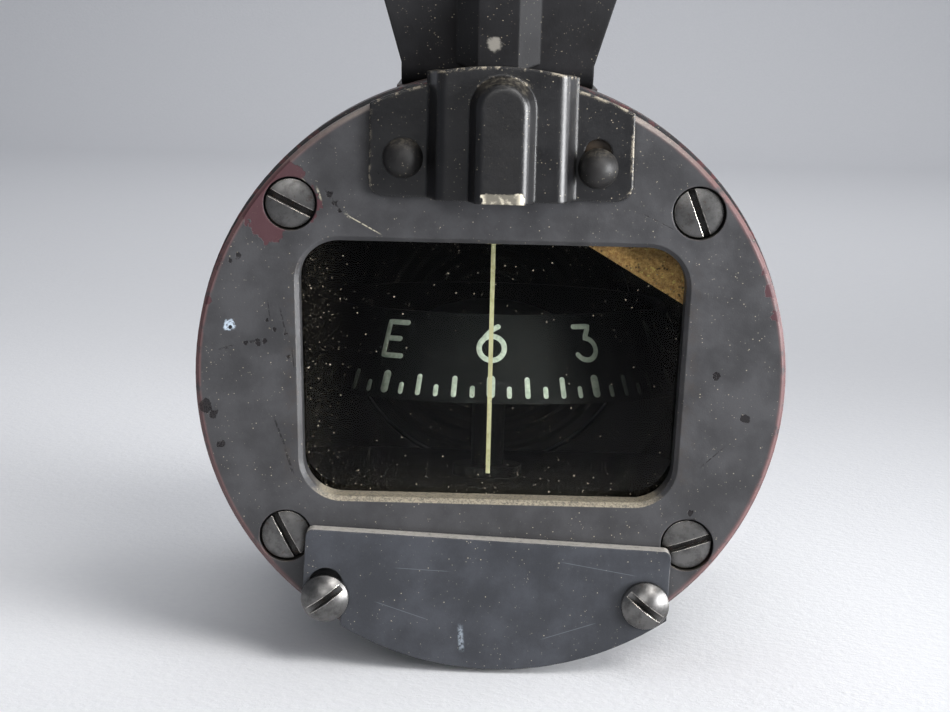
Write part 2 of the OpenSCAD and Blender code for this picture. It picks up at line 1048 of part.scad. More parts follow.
// The outline of a bevel gear at its heel, where every point lies on a ray from the apex.
function bevel_outline(teeth, cone, addendum, dedendum) =
    let (
        heel = cone_r * cos(cone),
        heights = [for (i = [0:4]) -dedendum + (addendum + dedendum) * i / 4]
    )
    [
        for (n = [0:teeth - 1], side = [-1, 1], i = [0:4])
            let (
                h = heights[side < 0 ? i : 4 - i],
                ray = cone + h / cone_r * degrees,
                turn = tooth_half(teeth, cone, h) / (cone_r * sin(ray)) * degrees,
                r = heel * tan(ray),
                a = 360 * n / teeth + side * turn
            )
            [r * cos(a), r * sin(a)]
    ];

// Bevel teeth with the apex at the origin, between two planes square to the gear's axis.
module bevel_teeth(teeth, cone, addendum, dedendum, toe, back)
{
    heel = cone_r * cos(cone);
    mirror([0, 0, 1])
        translate([0, 0, -back])
            linear_extrude(back - toe, scale = toe / back)
                polygon(bevel_outline(teeth, cone, addendum, dedendum) * back / heel);
}

// One bevel wheel above the apex, teeth down, with a gap towards the pinion.
module wheel_body()
{
    tips = face_share * cone_r * cos(wheel_cone + wheel_addendum / cone_r * degrees);
    difference()
    {
        union()
        {
            difference()
            {
                intersection()
                {
                    rotate([0, 0, 180 / wheel_teeth - 90])
                        bevel_teeth(wheel_teeth, wheel_cone, wheel_addendum,
                            pinion_addendum + root_gap, tips - 0.05, wheel_back);
                    cylinder(h = disc_top, r = wheel_rim);
                }
                cylinder(h = toe_z, r = toe_r);
            }
            translate([0, 0, wheel_back - 0.05])
                cylinder(h = disc_top - wheel_back + 0.05, r = wheel_rim);
            translate([0, 0, 0.45])
                cylinder(h = magnet_top - 0.45, r = 0.95);
        }
        translate([0, 0, -over])
            cylinder(h = 8, r = axle_r + shaft_fit);
    }
}

module at_axle(x, upside = 1)
{
    place()
        translate([x, axle_y, compensator_z])
            mirror([0, 0, upside < 0 ? 1 : 0])
                children();
}

module wheel(x, upside)
{
    color("#b9974c")
        at_axle(x, upside)
            wheel_body();
}

// A bar magnet, crosswise or lengthwise, on the back of its wheel.
module wheel_magnet(x, upside, turn)
{
    color("#46484c")
        at_axle(x, upside)
            translate([0, 0, disc_top])
                difference()
                {
                    rotate([0, 0, turn])
                        translate([-3.8, -1.4, 0])
                            cube([7.6, 2.8, magnet_top - disc_top]);
                    translate([0, 0, -over])
                        cylinder(h = 4, r = 0.97);
                }
}

// The axle holds the two wheels apart with its middle collar.
module wheel_axle(x)
{
    color("#9fa2a6")
        at_axle(x)
        {
            translate([0, 0, -frame_out])
                cylinder(h = 2 * frame_out, r = axle_r);
            translate([0, 0, -0.4])
                cylinder(h = 0.8, r = 1.1);
        }
}

module spindle(x)
{
    head_r = 1.9;
    head_top = 1.2;
    shaft_end = axle_y - 2.1;
    color("#b08d4a")
        place()
            difference()
            {
                union()
                {
                    bar(x, compensator_z, head_top, head_top + 2.2, head_r);
                    bar(x, compensator_z, head_top + 2, shaft_end, spindle_r);
                    bar(x, compensator_z, frame_front + frame_front_t + 0.1,
                        frame_front + frame_front_t + 1, 1.5);
                    bar(x, compensator_z, frame_front - 1.6, frame_front - 0.8, 1.3);
                }
                translate([x, head_top, compensator_z])
                    rotate([0, x < 0 ? 35 : -20, 0])
                        cube([5, 2, 0.6], center = true);
            }
}

module pinion(x)
{
    bore_r = spindle_r + 0.01;
    color("#c4a355")
        place()
            difference()
            {
                union()
                {
                    translate([x, axle_y, compensator_z])
                        rotate([90, 0, 0])
                            rotate([0, 0, 90])
                                bevel_teeth(pinion_teeth, pinion_cone, pinion_addendum,
                                    wheel_addendum + root_gap,
                                    face_share * pinion_heel, pinion_heel);
                    bar(x, compensator_z, axle_y - pinion_heel - 1.4,
                        axle_y - pinion_heel + 0.05, 1.2);
                }
                bar(x, compensator_z, 0, axle_y, bore_r);
            }
}

// The open ring that keeps a spindle's collar against the frame.
module clip(x)
{
    back = frame_front - 0.05;
    color("#8d8f93")
        place()
            difference()
            {
                bar(x, compensator_z, back - 0.6, back, 1.7);
                bar(x, compensator_z, back - 2, back + 1, spindle_r + 0.02);
                translate([x - 0.6, back - 2, compensator_z])
                    cube([1.2, 4, 4]);
            }
}

module compensator_frame()
{
    side = frame_half;
    front_back = frame_front + frame_front_t;
    color("#ad8b47")
        place()
            difference()
            {
                union()
                {
                    slab(frame_front, frame_back)
                        for (z = [frame_in, -frame_out])
                            translate([-side, compensator_z + z])
                                square([2 * side, frame_wall]);
                    for (y = [frame_front, frame_back - 1])
                        translate([-side, y, compensator_z - frame_out])
                            cube([2 * side, y == frame_front ? frame_front_t : 1,
                                2 * frame_out]);
                    translate([-wing_half, frame_front, chamber_top - wing_depth + 0.6])
                        cube([2 * wing_half, frame_front_t, wing_depth - 0.8]);
                }
                for (x = SPINDLES)
                {
                    bar(x, compensator_z, frame_front - over, front_back + over,
                        spindle_r + shaft_fit);
                    translate([x, axle_y, compensator_z - 10])
                        cylinder(h = 20, r = axle_r + 0.01);
                }
                for (x = [-wing_screw_x, wing_screw_x])
                    bar(x, wing_screw_z, frame_front - over, front_back + over,
                        small_shank_r + screw_fit);
            }
}

module frame_screws()
{
    color("#55575a")
        place()
            for (x = [-wing_screw_x, wing_screw_x])
                slotted_screw(x, wing_screw_z, frame_front - 1.5, 2.2, 1.5, 0.5,
                    small_shank_r, frame_front + 7.6, x < 0 ? 12 : 70);
}

// The plate is drawn hanging straight, then lifted at its free end about the right screw.
module compensator_cover()
{
    half = plate_w / 2;
    corner = 1;
    top = plate_screw_z + plate_top_rise;
    plate_r = face_r + plate_overhang;
    color("#303338")
        place()
            translate([plate_screw_x, 0, plate_screw_z])
                rotate([0, plate_slip, 0])
                    translate([-plate_screw_x, 0, -plate_screw_z])
                        slab(-plate_t, 0)
                            difference()
                            {
                                intersection()
                                {
                                    belt([
                                        [-half + corner, -plate_r, corner],
                                        [half - corner, -plate_r, corner],
                                        [half - corner, top - corner, corner],
                                        [-half + corner, top - corner, corner]
                                    ]);
                                    circle(plate_r);
                                }
                                translate([plate_screw_x, plate_screw_z])
                                    circle(plate_shank_r + shaft_fit);
                                translate([-plate_screw_x, plate_screw_z])
                                    circle(notch_r);
                                translate([-plate_screw_x - notch_r, -plate_r])
                                    square([2 * notch_r, plate_r + plate_screw_z]);
                            }
}

module plate_screw(x, slot_angle)
{
    color("#4a4a4b")
        place()
            slotted_screw(x, plate_screw_z, -plate_t - 0.1 - 2.1, 3.2, 2.1, 1.3,
                plate_shank_r, case_front + 3, slot_angle);
}

// The flanges of the lamp cover, seen from the front.
module lamp_flanges()
{
    half = lamp_cover_w / 2;
    corner = 2;
    intersection()
    {
        translate([lamp_x, 0])
            belt([
                [-half + corner, lamp_bottom + corner, corner],
                [half - corner, lamp_bottom + corner, corner],
                [half, flange_top_r, 0],
                [-half, flange_top_r, 0]
            ]);
        circle(flange_top_r);
    }
}

// The raised part's section, looking down: x across, y out from the face.
module hat_section(inset)
{
    r = 1.6 - inset;
    low = hat_half - inset;
    high = hat_half - hat_lean - inset;
    out = lamp_rise - inset;
    foot = inset > 0 ? -over : 0;
    belt([
        [-low, foot, 0], [low, foot, 0], [high - r, out - r, r], [-high + r, out - r, r]
    ], 6);
}

// The bends between the raised part and the flanges.
module hat_feet()
{
    r = 0.3;
    wall_x = hat_half - hat_lean * (lamp_sheet + r) / lamp_rise;
    for (side = [-1, 1])
        difference()
        {
            translate([side * wall_x - r, lamp_sheet / 2])
                square([2 * r, r + lamp_sheet / 2 - 0.05]);
            translate([side * (wall_x + r), lamp_sheet + r - 0.02])
                circle(r);
        }
}

// The bump's section, looking down, the same way.
module bump_section(inset)
{
    slope = (bump_half - bump_top_half) / (bump_rise - lamp_rise);
    bend_r = inset > 0 ? 0 : 1.2;
    base = lamp_rise - 2;
    low = bump_half + 2 * slope - inset;
    top = bump_rise - inset - bend_r;
    belt([
        [-low, base, 0], [low, base, 0],
        [bump_top_half, top, bend_r], [-bump_top_half, top, bend_r]
    ]);
}

// The bump for the lamp: straight below, half a cone above, open at the bottom.
module bump(inset)
{
    bottom = lamp_bottom - (inset > 0 ? over : 0);
    translate([lamp_x, 0, bottom])
        mirror([0, 1, 0])
            linear_extrude(bump_z - bottom)
                bump_section(inset);
    translate([lamp_x, 0, bump_z])
        mirror([0, 1, 0])
            turned()
                intersection()
                {
                    bump_section(inset);
                    square([2 * hat_half, 2 * bump_rise]);
                }
}

// The raised part's sheet, cut off by the circle that its top follows.
module hat()
{
    intersection()
    {
        translate([lamp_x, 0, lamp_bottom])
            mirror([0, 1, 0])
                linear_extrude(hat_top_r)
                    difference()
                    {
                        union()
                        {
                            hat_section(0);
                            hat_feet();
                        }
                        hat_section(lamp_sheet);
                    }
        bar(0, 0, -bump_rise - over, over, hat_top_r);
    }
}

module hat_hollow()
{
    translate([lamp_x, 0, lamp_bottom - over])
        mirror([0, 1, 0])
            linear_extrude(2 * hat_top_r)
                hat_section(lamp_sheet);
}

module lamp_cover()
{
    color("#1c1e21")
        place()
            difference()
            {
                union()
                {
                    difference()
                    {
                        slab(-lamp_sheet, 0)
                            lamp_flanges();
                        hat_hollow();
                    }
                    hat();
                    difference()
                    {
                        bump(0);
                        hat_hollow();
                    }
                }
                bump(lamp_sheet);
                bar(STUDS[0][0], STUDS[0][1], -2, 1, 1.6);
                for (lift = [0, 2.1])
                    bar(STUDS[1][0], STUDS[1][1] + lift, -2, 1, 1.8);
            }
}

module lamp_cover_studs()
{
    head_r = 2.7;
    head_h = 2.3;
    ball_r = (pow(head_r, 2) + pow(head_h, 2)) / (2 * head_h);
    color("#5c5c5a")
        place()
            for (s = STUDS)
            {
                intersection()
                {
                    bar(s[0], s[1], -lamp_sheet - head_h - over, -lamp_sheet, head_r);
                    translate([s[0], -lamp_sheet - head_h + ball_r, s[1]])
                        sphere(ball_r, $fn = 96);
                }
                bar(s[0], s[1], -lamp_sheet - over, 4.2, stud_shank_r);
            }
}

lamp_r = 2.4;
lamp_base_z = lamp_bottom + 8.6;
lamp_base_h = 4.6;
holder_t = 0.6;

// A sheet bracket on the face, with an open sleeve for the lamp.
module lamp_holder()
{
    sleeve_r = lamp_r + 0.05 + holder_t;
    color("#a58a50")
        place()
            translate([lamp_x, 0, 0])
                difference()
                {
                    union()
                    {
                        translate([-3, -holder_t, lamp_bottom + 1])
                            cube([6, holder_t, 12]);
                        translate([0, -lamp_axis, lamp_base_z])
                            cylinder(h = 4, r = sleeve_r);
                        translate([-1.6, -lamp_axis, lamp_base_z])
                            cube([3.2, lamp_axis, 4]);
                    }
                    translate([0, -lamp_axis, lamp_base_z - over])
                        cylinder(h = 8, r = lamp_r + 0.03);
                    bar(0, lamp_bottom + 3, -2, 1, lamp_shank_r + screw_fit);
                }
}

module lamp_holder_screw()
{
    color("#8a8a88")
        place()
            slotted_screw(lamp_x, lamp_bottom + 3, -holder_t - 1, 1.6, 1, 0.4,
                lamp_shank_r, 3.8, 20);
}

module lamp_base()
{
    color("#b89c5e")
        place()
            translate([lamp_x, -lamp_axis, lamp_base_z])
            {
                cylinder(h = lamp_base_h, r = lamp_r);
                translate([0, 0, lamp_base_h])
                    cylinder(h = 0.6, r = 1);
            }
}

module lamp_bulb()
{
    bulb_r = 2.1;
    color("#d9d5c8", 0.5)
        place()
            translate([lamp_x, -lamp_axis, lamp_base_z])
                mirror([0, 0, 1])
                {
                    cylinder(h = 4.2, r = bulb_r);
                    translate([0, 0, 4.2])
                        sphere(bulb_r, $fn = 48);
                }
}

// Places children in the arm's upright: x across, y towards the windshield, z along it.
module at_upright()
{
    translate([0, upright_y, upright_z])
        rotate([arm_lean, 0, 0])
            children();
}

rib_h = 3;
rib_half = 5.7;
rib_top_half = 2.8;

// A round-ended ridge with sloping sides, pressed out of the upright's front face.
module rib(inset, low, high)
{
    slope = (rib_half - rib_top_half) / rib_h;
    height = arm_t + rib_h - inset;
    base_half = rib_half + slope * arm_t - inset * norm([1, slope]);
    top_half = base_half - slope * height;
    translate([0, 0, low])
        mirror([0, 1, 0])
            linear_extrude(high - low)
                polygon([
                    [-base_half, 0], [base_half, 0], [top_half, height], [-top_half, height]
                ]);
    translate([0, 0, high])
        rotate([90, 0, 0])
            cylinder(h = height, r1 = base_half, r2 = top_half);
}

module arm_strip()
{
    // base
    translate([-arm_foot_w, bend_y, pad_top])
        cube([2 * arm_foot_w, pad_front + pad_length - 1 - bend_y, arm_t]);
    // bend
    translate([0, bend_y, bend_z])
        intersection()
        {
            rotate([0, 90, 0])
                difference()
                {
                    cylinder(h = 2 * arm_foot_w, r = bend_in + arm_t, center = true);
                    cylinder(h = 3 * arm_foot_w, r = bend_in, center = true);
                }
            rotate([90, 0, 90])
                linear_extrude(4 * arm_foot_w, center = true)
                    polygon([
                        [0, 0], [0, -20], [-20 * cos(arm_lean), -20],
                        [-20 * cos(arm_lean), -20 * sin(arm_lean)]
                    ]);
        }
    // upright
    at_upright()
        translate([-arm_foot_w, -arm_t, 0])
            cube([2 * arm_foot_w, arm_t, arm_length]);
}

// The upright seen square on: narrow at the base, then flaring to the foot.
module arm_outline()
{
    base = arm_base_w / 2;
    half = arm_foot_w / 2;
    r = 6;
    belt([
        [-base + 0.4, 0.4, 0.4], [base - 0.4, 0.4, 0.4], [half - r, 32, r],
        [half - foot_corner_r, arm_length - foot_corner_r, foot_corner_r],
        [-half + foot_corner_r, arm_length - foot_corner_r, foot_corner_r],
        [-half + r, 32, r]
    ]);
}

module mounting_arm()
{
    base = arm_base_w / 2;
    rib_end = 33;
    color("#1d1f22")
        place()
            difference()
            {
                union()
                {
                    intersection()
                    {
                        arm_strip();
                        union()
                        {
                            at_upright()
                                slab(-20, 20)
                                    arm_outline();
                            translate([-base, 0, pad_top - 1])
                                cube([arm_base_w, 2 * case_length, bend_z - pad_top]);
                        }
                    }
                    at_upright()
                        rib(0, 0.5, rib_end);
                }
                at_upright()
                {
                    rib(arm_t, 0, rib_end);
                    for (i = [0:2])
                        translate([0, -20, foot_centre])
                            rotate([0, -90 - 120 * i, 0])
                                translate([foot_pcd / 2, 40, 0])
                                    rotate([90, 0, 0])
                                        cylinder(h = 60, r = foot_hole_r);
                }
                for (s = ARM_SCREWS)
                    translate([s[0], s[1], pad_top - 1])
                        cylinder(h = 5, r = arm_shank_r + screw_fit);
            }
}

module arm_screws()
{
    head_r = 2.8;
    head_h = 2;
    dome = 1;
    ball_r = (pow(head_r, 2) + pow(dome, 2)) / (2 * dome);
    color("#4a4a4b")
        place()
            for (s = ARM_SCREWS)
                translate([s[0], s[1], pad_top + arm_t])
                    difference()
                    {
                        union()
                        {
                            intersection()
                            {
                                cylinder(h = head_h + 1, r = head_r);
                                translate([0, 0, head_h - ball_r])
                                    sphere(ball_r, $fn = 96);
                            }
                            translate([0, 0, -arm_t - 5.2])
                                cylinder(h = arm_t + 5.7, r = arm_shank_r);
                        }
                        translate([0, 0, head_h])
                            rotate([0, 0, 25 * s[0] + 9 * s[1]])
                                cube([8, 0.8, 1.8], center = true);
                    }
}

module ns_spindle() { spindle(-spindle_x); }
module ns_pinion() { pinion(-spindle_x); }
module ns_clip() { clip(-spindle_x); }
module ns_upper_wheel() { wheel(-spindle_x, 1); }
module ns_lower_wheel() { wheel(-spindle_x, -1); }
module ns_upper_magnet() { wheel_magnet(-spindle_x, 1, 90); }
module ns_lower_magnet() { wheel_magnet(-spindle_x, -1, 90); }
module ns_axle() { wheel_axle(-spindle_x); }
module ew_spindle() { spindle(spindle_x); }
module ew_pinion() { pinion(spindle_x); }
module ew_clip() { clip(spindle_x); }
module ew_upper_wheel() { wheel(spindle_x, 1); }
module ew_lower_wheel() { wheel(spindle_x, -1); }
module ew_upper_magnet() { wheel_magnet(spindle_x, 1, 0); }
module ew_lower_magnet() { wheel_magnet(spindle_x, -1, 0); }
module ew_axle() { wheel_axle(spindle_x); }
module cover_pivot_screw() { plate_screw(plate_screw_x, -38); }
module cover_lock_screw() { plate_screw(-plate_screw_x, 37); }

case();
face_plate();
face_gasket();
face_screws();
lens();
lens_gasket();
lubber_line();
lubber_screw();
compass_card();
card_float();
card_magnets();
magnet_rivets();
jewel_cup();
pivot_jewel();
pivot_tip();
pivot_pin();
pivot_spring();
pivot_collar();
pivot_post();
diaphragm();
diaphragm_ring();
rear_cover();
rear_cover_screws();
filler_plug();
filler_washer();
compensator_frame();
frame_screws();
ns_spindle();
ns_pinion();
ns_clip();
ns_upper_wheel();
ns_lower_wheel();
ns_upper_magnet();
ns_lower_magnet();
ns_axle();
ew_spindle();
ew_pinion();
ew_clip();
ew_upper_wheel();
ew_lower_wheel();
ew_upper_magnet();
ew_lower_magnet();
ew_axle();
compensator_cover();
cover_pivot_screw();
cover_lock_screw();
lamp_cover();
lamp_cover_studs();
lamp_holder();
lamp_holder_screw();
lamp_base();
lamp_bulb();
mounting_arm();
arm_screws();
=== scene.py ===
# %% [markdown]
# # A windshield compass
# A liquid-filled compass hangs from a sheet-metal arm. Its castings are enamelled charcoal and
# black, its screws are dark steel, and a pale card floats behind a dusty window. The solid
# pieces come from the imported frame, and this lesson gives them their paint, wear and dust,
# draws the card's marks and lights the picture.

# %% Load the frame
import functools
import json
import math
import bpy
from mathutils import Matrix, Vector


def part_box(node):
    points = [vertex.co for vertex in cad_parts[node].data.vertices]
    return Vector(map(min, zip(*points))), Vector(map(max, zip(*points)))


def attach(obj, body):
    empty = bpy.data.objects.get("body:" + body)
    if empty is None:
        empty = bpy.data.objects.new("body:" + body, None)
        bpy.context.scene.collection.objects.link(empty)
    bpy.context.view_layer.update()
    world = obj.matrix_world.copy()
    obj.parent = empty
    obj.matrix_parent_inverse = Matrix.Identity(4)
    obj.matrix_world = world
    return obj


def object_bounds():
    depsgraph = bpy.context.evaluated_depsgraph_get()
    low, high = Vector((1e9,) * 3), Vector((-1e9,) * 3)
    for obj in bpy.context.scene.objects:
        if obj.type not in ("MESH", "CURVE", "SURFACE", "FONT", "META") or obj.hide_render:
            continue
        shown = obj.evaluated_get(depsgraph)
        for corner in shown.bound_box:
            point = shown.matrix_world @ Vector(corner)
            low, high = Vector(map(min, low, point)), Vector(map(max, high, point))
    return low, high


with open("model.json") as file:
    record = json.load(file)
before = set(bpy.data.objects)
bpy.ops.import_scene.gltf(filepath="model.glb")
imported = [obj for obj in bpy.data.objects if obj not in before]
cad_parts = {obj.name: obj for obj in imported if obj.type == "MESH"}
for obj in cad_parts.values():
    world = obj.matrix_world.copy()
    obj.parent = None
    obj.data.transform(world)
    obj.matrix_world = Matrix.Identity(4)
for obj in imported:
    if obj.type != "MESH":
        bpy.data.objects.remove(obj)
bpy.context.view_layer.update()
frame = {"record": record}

# %% [markdown]
# ## Places on the compass
# A maker measures everything from the middle of the face. The frame's origin is the middle of
# the arm's foot instead, so a few helpers turn millimetres from the face's centre into metres
# in the frame. The face plate is a full disc, so its box gives the centre. Chips and scratches
# are placed where the 950 pixel wide picture shows them: a pixel is 0.134 mm at the face.

# %% Millimetres from the face's centre
plate_low, plate_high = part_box("face_plate")
FACE_R = (plate_high[0] - plate_low[0]) / 2 * 1000
FACE = Vector((0, plate_low[1], plate_low[2] + FACE_R / 1000))


def place(x, y, z):
    """Millimetres right of, behind and above the face's centre, as a point in the frame."""
    return FACE + Vector((x, y, z)) / 1000


TURN = math.radians(1.4)
MM_A_PIXEL = 0.1341
FACE_U, FACE_V = 491, 376
FORESHORTENED = 0.988


def seen(u, v):
    """A spot on the face, in millimetres, from where the picture shows it."""
    right = (u - FACE_U) * MM_A_PIXEL
    up = (FACE_V - v) * MM_A_PIXEL / FORESHORTENED
    return (right * math.cos(TURN) - up * math.sin(TURN),
            right * math.sin(TURN) + up * math.cos(TURN))


print("face radius", round(FACE_R, 2), "mm, centre", [round(c, 5) for c in FACE])

# %% [markdown]
# ## The camera
# The camera looks straight at the face from a little above, with a long lens, so the rim stays
# round. It is turned slightly, because the compass stands a little askew in the picture.

# %% Stand the camera in front of the face
LOOK_AT = place(-2.15, 0, 2.7)
DISTANCE, RISE = 0.330, math.radians(9)
LENS_MM, SENSOR_MM = 93.2, 36
camera_data = bpy.data.cameras.new("camera")
camera_data.lens, camera_data.sensor_width = LENS_MM, SENSOR_MM
camera_data.clip_start = 0.01
camera = bpy.data.objects.new("camera", camera_data)
bpy.context.scene.collection.objects.link(camera)
camera.location = LOOK_AT + Vector((0, -math.cos(RISE), math.sin(RISE))) * DISTANCE
aim = (LOOK_AT - camera.location).to_track_quat("-Z", "Y").to_matrix().to_4x4()
camera.matrix_world = Matrix.Translation(camera.location) @ aim @ Matrix.Rotation(TURN, 4, "Z")
bpy.context.scene.camera = camera
print("camera at", [round(c, 4) for c in camera.location])

# %% [markdown]
# ## Shader sums
# A pattern is arithmetic on sockets. Writing `1 - mask` is easier to read than a chain of Math
# nodes, so one small class wraps a socket and adds the Math node for each sum.

# %% A socket that can be added, multiplied and compared


class Wire:
    """A number, colour or vector that comes out of a node."""

    def __init__(self, finish, socket):
        self.finish, self.socket = finish, socket

    def sum(self, operation, a, b=0.0):
        return self.finish.node("ShaderNodeMath", {"operation": operation}, {0: a, 1: b})

    def __add__(self, other):
        return self.sum("ADD", self, other)

    def __radd__(self, other):
        return self.sum("ADD", other, self)

    def __sub__(self, other):
        return self.sum("SUBTRACT", self, other)

    def __rsub__(self, other):
        return self.sum("SUBTRACT", other, self)

    def __mul__(self, other):
        return self.sum("MULTIPLY", self, other)

    def __truediv__(self, other):
        return self.sum("DIVIDE", self, other)

    def __pow__(self, other):
        return self.sum("POWER", self, other)

    def or_(self, other):
        return self.sum("MAXIMUM", self, other)

    def size(self):
        return self.sum("ABSOLUTE", self)

    def rising(self, low, high):
        """0 below low, 1 above high, smooth between. Falls instead if low is the larger."""
        flip = low > high
        return self.finish.node(
            "ShaderNodeMapRange", {"interpolation_type": "SMOOTHSTEP"},
            {"Value": self, "From Min": min(low, high), "From Max": max(low, high),
             "To Min": 1.0 if flip else 0.0, "To Max": 0.0 if flip else 1.0})


def any_of(masks):
    """1 wherever one of the masks is 1."""
    return functools.reduce(Wire.or_, masks)


# %% [markdown]
# ## A finish
# Every finish starts from the same shader and the same coordinates: millimetres from the face's
# centre, which the Mapping node makes from the object's own. Because a pattern is tied to the
# piece and not to the view, it stays put when the piece or the camera moves.

# %% A finish and the nodes that patterns are made of


def linear(r, g, b):
    """A screen colour, 0 to 255, as the light that a shader counts in."""
    return tuple(((c / 255 + 0.055) / 1.055) ** 2.4 if c > 10 else c / 255 / 12.92
                 for c in (r, g, b)) + (1.0,)


class Finish:
    """A material under construction, measured in millimetres from the face's centre."""

    def __init__(self, name, colour, roughness=0.5, metallic=0.0, specular=0.5):
        self.material = bpy.data.materials.new(name)
        self.material.use_nodes = True
        self.tree = self.material.node_tree
        self.shader = self.tree.nodes["Principled BSDF"]
        self.shader.inputs["Specular IOR Level"].default_value = specular
        self.set("Base Color", colour)
        self.set("Roughness", roughness)
        self.set("Metallic", metallic)
        spot = self.node("ShaderNodeTexCoord", output="Object")
        self.mm = self.node(
            "ShaderNodeMapping", {"vector_type": "POINT"},
            {"Vector": spot, "Scale": (1000, 1000, 1000), "Location": tuple(-1000 * FACE)})
        self.x, self.y, self.z = (
            self.node("ShaderNodeSeparateXYZ", None, {0: self.mm}, axis) for axis in "XYZ")

    def feed(self, socket, value):
        if isinstance(value, Wire):
            self.tree.links.new(value.socket, socket)
        else:
            socket.default_value = value

    def node(self, kind, settings=None, values=None, output=0):
        made = self.tree.nodes.new(kind)
        for key, value in (settings or {}).items():
            setattr(made, key, value)
        for key, value in (values or {}).items():
            self.feed(made.inputs[key], value)
        return Wire(self, made.outputs[output])

    def set(self, socket, value):
        self.feed(self.shader.inputs[socket], value)

    def blend(self, mask, low, high):
        """The colour low where mask is 0 and high where it is 1."""
        return self.node("ShaderNodeMix", {"data_type": "RGBA"}, {0: mask, 6: low, 7: high}, 2)

    def noise(self, scale, detail=3.0, roughness=0.55):
        return self.node("ShaderNodeTexNoise", None,
                         {"Vector": self.mm, "Scale": scale, "Detail": detail,
                          "Roughness": roughness}, "Fac")

    def cells(self, scale):
        """0 in the middle of each of many scattered cells and larger away from it."""
        return self.node("ShaderNodeTexVoronoi", None,
                         {"Vector": self.mm, "Scale": scale, "Randomness": 1.0}, "Distance")

    def facing(self, axis="Z"):
        normal = self.node("ShaderNodeNewGeometry", output="Normal")
        return self.node("ShaderNodeSeparateXYZ", None, {0: normal}, axis)

    def edge(self, radius, low=0.02, high=0.22):
        """1 along sharp edges, found by comparing the real normal with a rounded one."""
        rounded = self.node("ShaderNodeBevel", {"samples": 6}, {"Radius": radius / 1000})
        plain = self.node("ShaderNodeNewGeometry", output="Normal")
        same = self.node("ShaderNodeVectorMath", {"operation": "DOT_PRODUCT"},
                         {0: rounded, 1: plain}, "Value")
        return (1 - same).rising(low, high)

    def spot(self, x, z, r, soft=0.5, warp=0.0):
        """1 inside a round patch on the front, with a ragged edge if it is warped."""
        far = ((self.x - x) ** 2.0 + (self.z - z) ** 2.0) ** 0.5
        if warp:
            far = far + (self.noise(1.1, 4.0, 0.6) - 0.5) * warp
        return far.rising(r + soft, r)

    def line(self, a, b, width):
        """1 along a thin straight mark between two spots on the front."""
        dx, dz = b[0] - a[0], b[1] - a[1]
        length = math.hypot(dx, dz)
        ux, uz = dx / length, dz / length
        along = (self.x - a[0]) * ux + (self.z - a[1]) * uz
        across = ((self.x - a[0]) * -uz + (self.z - a[1]) * ux).size()
        past = (along - length / 2).size()
        return across.rising(width, width * 0.35) * past.rising(length / 2, length / 2 - 1.2)

    def crevice(self, distance, low=0.25, high=0.75):
        """1 deep in corners and slots, 0 out in the open, by ambient occlusion: the mask for
        painted shade.
        """
        open_air = self.node("ShaderNodeAmbientOcclusion", {"samples": 6, "only_local": False},
                             {"Distance": distance / 1000}, "AO")
        return open_air.rising(high, low)

    def relief(self, height, distance, round_edges=0.0):
        """Raises the surface where height is large, and may round its edges as it goes."""
        values = {"Height": height, "Distance": distance / 1000, "Strength": 1.0}
        if round_edges:
            values["Normal"] = self.node("ShaderNodeBevel", {"samples": 6},
                                         {"Radius": round_edges / 1000})
        self.set("Normal", self.node("ShaderNodeBump", None, values))

    def reach(self):
        """How far a point is from the axis through the face's centre."""
        return (self.x ** 2.0 + self.z ** 2.0) ** 0.5


def dress(finish, *names):
    """Paints CAD nodes or new pieces with a finish."""
    for name in names:
        piece = bpy.data.objects[name]
        if not piece.material_slots:
            piece.data.materials.append(finish.material)
        for held in piece.material_slots:
            held.material = finish.material


def nodes_of(slot):
    return [part["node"] for part in frame["record"]["subparts"]
            if part["material_slot"] == slot]


# %% [markdown]
# ## Enamel
# The castings are sprayed with a satin enamel over a maroon primer. Up close it has a fine
# grain, and hands and cloths have polished some places more than others. Where an edge has
# been rubbed, the enamel is thin and the colour below shows. One recipe makes that grain,
# mottle, rubbed edge and settled dust, paints shade into corners and crevices, and each
# casting adds its own damage.

# %% The shared enamel recipe
DUST = linear(178, 168, 148)
# The near-black colour and its reach below paint shade into corners and crevices.
CREVICE_SHADE = linear(12, 11, 10)
CREVICE_SHADE_REACH = 1.6
DARKER, LIGHTER = 0.8, 1.45


def shaded(colour, by):
    return tuple(c * by for c in colour[:3]) + (1.0,)


